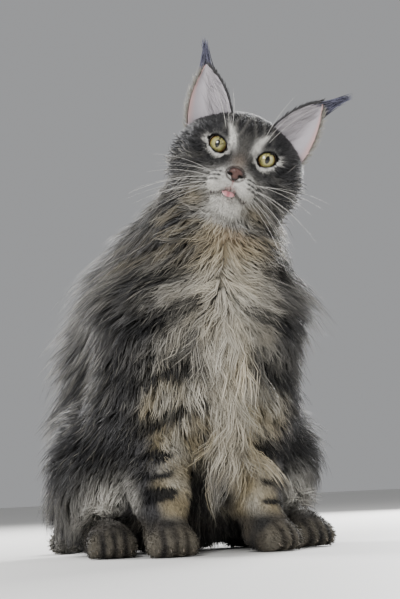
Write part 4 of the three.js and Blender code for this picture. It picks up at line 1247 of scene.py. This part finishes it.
def growWhiskers():
    draw = np.random.default_rng(whiskerLook["seed"])
    paths, ups, thick = [], [], []
    side, front, top = whiskerLook["pad"]
    run = np.linspace(0, 1, 9)[:, None]
    for s in (-1, 1):
        for i in range(whiskerLook["perSide"]):
            column, row = divmod(i, whiskerLook["rows"])
            outwards = side + whiskerLook["step"] * column
            back = front + 0.55 * (outwards - 10) + 0.15 * row
            start = np.array([s * outwards, back, top - whiskerLook["step"] * row])
            reach = draw.uniform(*whiskerLook["length"])
            aim = unit([s, -0.05 + 0.35 * draw.random(), 0.16 - 0.19 * row + 0.1 * draw.normal()])
            droop = np.array([0, 0.45, -0.2 - 0.05 * row])
            paths.append(start + (aim * run + droop * run ** 2) * reach)
            ups.append((0, 0, 1))
            thick.append(1)
        for i in range(whiskerLook["browPerSide"]):
            start = np.array([s * (13 + 2.2 * i), -5 + i, 12.5])
            reach = draw.uniform(*whiskerLook["browLength"])
            aim = unit([s * (0.15 + 0.16 * i), -0.35, 1])
            paths.append(start + (aim * run + np.array([s * 0.12, 0.3, -0.1]) * run ** 2) * reach)
            ups.append((0, -1, 0))
            thick.append(whiskerLook["browWidth"])
    paths, ups = fromHead(np.array(paths)), np.array(ups, float) @ headAxes
    base = np.broadcast_to(whiskerLook["colour"], (len(paths), 3))
    tones = toneAlong(base, {"tone": 0.05, "tip": 0.2}, draw)
    widths = whiskerLook["width"] * draw.uniform(0.7, 1.1, len(paths)) * thick
    piece = strandMesh("whiskers", paths, widths, ups, tones, inRow(len(paths)), hairCoat, (1, 0.9, 0.6, 0.3))
    return placed(piece, "coat_cream")


clawLook = {"width": 1.8, "colour": linear("#8c7f70"), "front": -25.5, "height": 7, "bend": (0, -3, 0.2),
            "end": (0, -3.6, -3.4), "seed": 62}


def growClaws():
    run = np.linspace(0, 1, 6)[:, None]
    paths, ups = [], []
    for leg in hindLegs + foreLegs:
        axes = pawAxes(leg["turn"])
        for x in toes["places"]:
            start = np.array([x, clawLook["front"] + toes["arc"] * abs(x), clawLook["height"]])
            claw = bezier(start, start + clawLook["bend"], start + clawLook["end"], run)
            paths.append(np.array([*leg["paw"], 0]) + claw @ axes)
            ups.append(axes[1])
    count = len(paths)
    tones = toneAlong(np.broadcast_to(clawLook["colour"], (count, 3)), {"tone": 0.05, "tip": 0.1},
                      np.random.default_rng(clawLook["seed"]))
    piece = strandMesh("claws", np.array(paths), np.full(count, clawLook["width"]), np.array(ups), tones,
                       inRow(count), clawHorn, (1, 0.9, 0.7, 0.4))
    return placed(piece, "coat_cream")


growWhiskers()
growClaws()
print("whiskers and claws made")


# Studio: a pale floor, four soft boxes and an even sky
studio = {
    "floor": linear("#d6d5d2"), "floorRadius": 6000, "floorCorners": 96, "sky": linear("#c9cacc"),
    "skyStrength": 0.6,
    # each box: place and aim in metres, its two sides in metres, power in watts
    "boxes": {"keyBox": ((-1, -1.5, 1.15), (0, -0.1, 0.2), (0.65, 0.65), 37),
              "fillBox": ((1.4, -1.2, 0.7), (0, -0.1, 0.2), (1.2, 1), 10),
              "rimBoxLeft": ((-0.75, 1.1, 0.75), (0, -0.05, 0.22), (0.5, 1.1), 48),
              "rimBoxRight": ((0.95, 0.95, 0.7), (0, -0.05, 0.22), (0.5, 1.1), 56)},
}


def floorPaint(name):  # painted board, matt and very slightly uneven, so that the shadow on it stays soft
    material, tree = newMaterial(name)
    grain = addNode(tree, "ShaderNodeTexNoise", {"Scale": 9, "Detail": 4})
    tone = addNode(tree, "ShaderNodeMapRange", {"To Min": 0.96, "To Max": 1.04},
                   {"Value": grain.outputs["Fac"]})
    shade = addNode(tree, "ShaderNodeVectorMath", {"operation": "SCALE", 0: tuple(studio["floor"])},
                    {"Scale": tone.outputs["Result"]})
    surface = addNode(tree, "ShaderNodeBsdfPrincipled", {"Roughness": 0.6},
                      {"Base Color": shade.outputs["Vector"]})
    addNode(tree, "ShaderNodeOutputMaterial", {}, {"Surface": surface.outputs["BSDF"]})
    return material


circle = np.linspace(0, 2 * math.pi, studio["floorCorners"], endpoint=False)
floorPoints = studio["floorRadius"] * np.stack([np.cos(circle), np.sin(circle), 0 * circle], axis=1)
floorFace = np.arange(len(circle))[None]
floor = meshObject("studio_floor", floorPoints, floorFace, floorPaint("paintedFloor"), flat=True)

world = bpy.data.worlds.new("evenSky")
bpy.context.scene.world = world
world.use_nodes = True
background = world.node_tree.nodes["Background"]
background.inputs["Color"].default_value = (*studio["sky"], 1)
background.inputs["Strength"].default_value = studio["skyStrength"]


def stand(name, data, place, right, up, forward):  # puts a lamp or a camera in the scene, turned forward
    item = bpy.data.objects.new(name, data)
    bpy.context.scene.collection.objects.link(item)
    turn = Matrix([[right[k], up[k], -forward[k]] for k in range(3)]).to_4x4()
    turn.translation = place
    item.matrix_world = turn
    return item


def softBox(name, place, aim, size, power):
    lamp = bpy.data.lights.new(name, "AREA")
    lamp.shape = "RECTANGLE"
    lamp.size, lamp.size_y = size
    lamp.energy = power
    forward = unit(np.array(aim) - np.array(place))
    right = unit(np.cross(forward, [0, 0, 1]))
    return stand(name, lamp, place, right, np.cross(right, forward), forward)


for name, settings in studio["boxes"].items():
    softBox(name, *settings)

# Camera at the photo's place: angles in degrees, lens for a 36 mm tall picture
cameraPose = {"place": (-516.5, -1693.3, 55), "heading": 18, "pitch": 4.95, "roll": 2.8, "lens": 127.35,
              "sensor": 36}


def addCamera():
    data = bpy.data.cameras.new("camera")
    data.sensor_fit = "VERTICAL"
    data.sensor_width = data.sensor_height = cameraPose["sensor"]
    data.lens = cameraPose["lens"]
    heading, pitch, roll = [math.radians(cameraPose[key]) for key in ("heading", "pitch", "roll")]
    ahead = np.array([math.sin(heading), math.cos(heading), 0])
    forward = ahead * math.cos(pitch) + [0, 0, math.sin(pitch)]
    level = np.array([math.cos(heading), -math.sin(heading), 0])
    raised = np.cross(level, forward)
    right = level * math.cos(roll) - raised * math.sin(roll)
    up = raised * math.cos(roll) + level * math.sin(roll)
    place = np.array(cameraPose["place"]) * millimetre
    bpy.context.scene.camera = stand("camera", data, place, right, up, forward)


addCamera()
print("studio set")
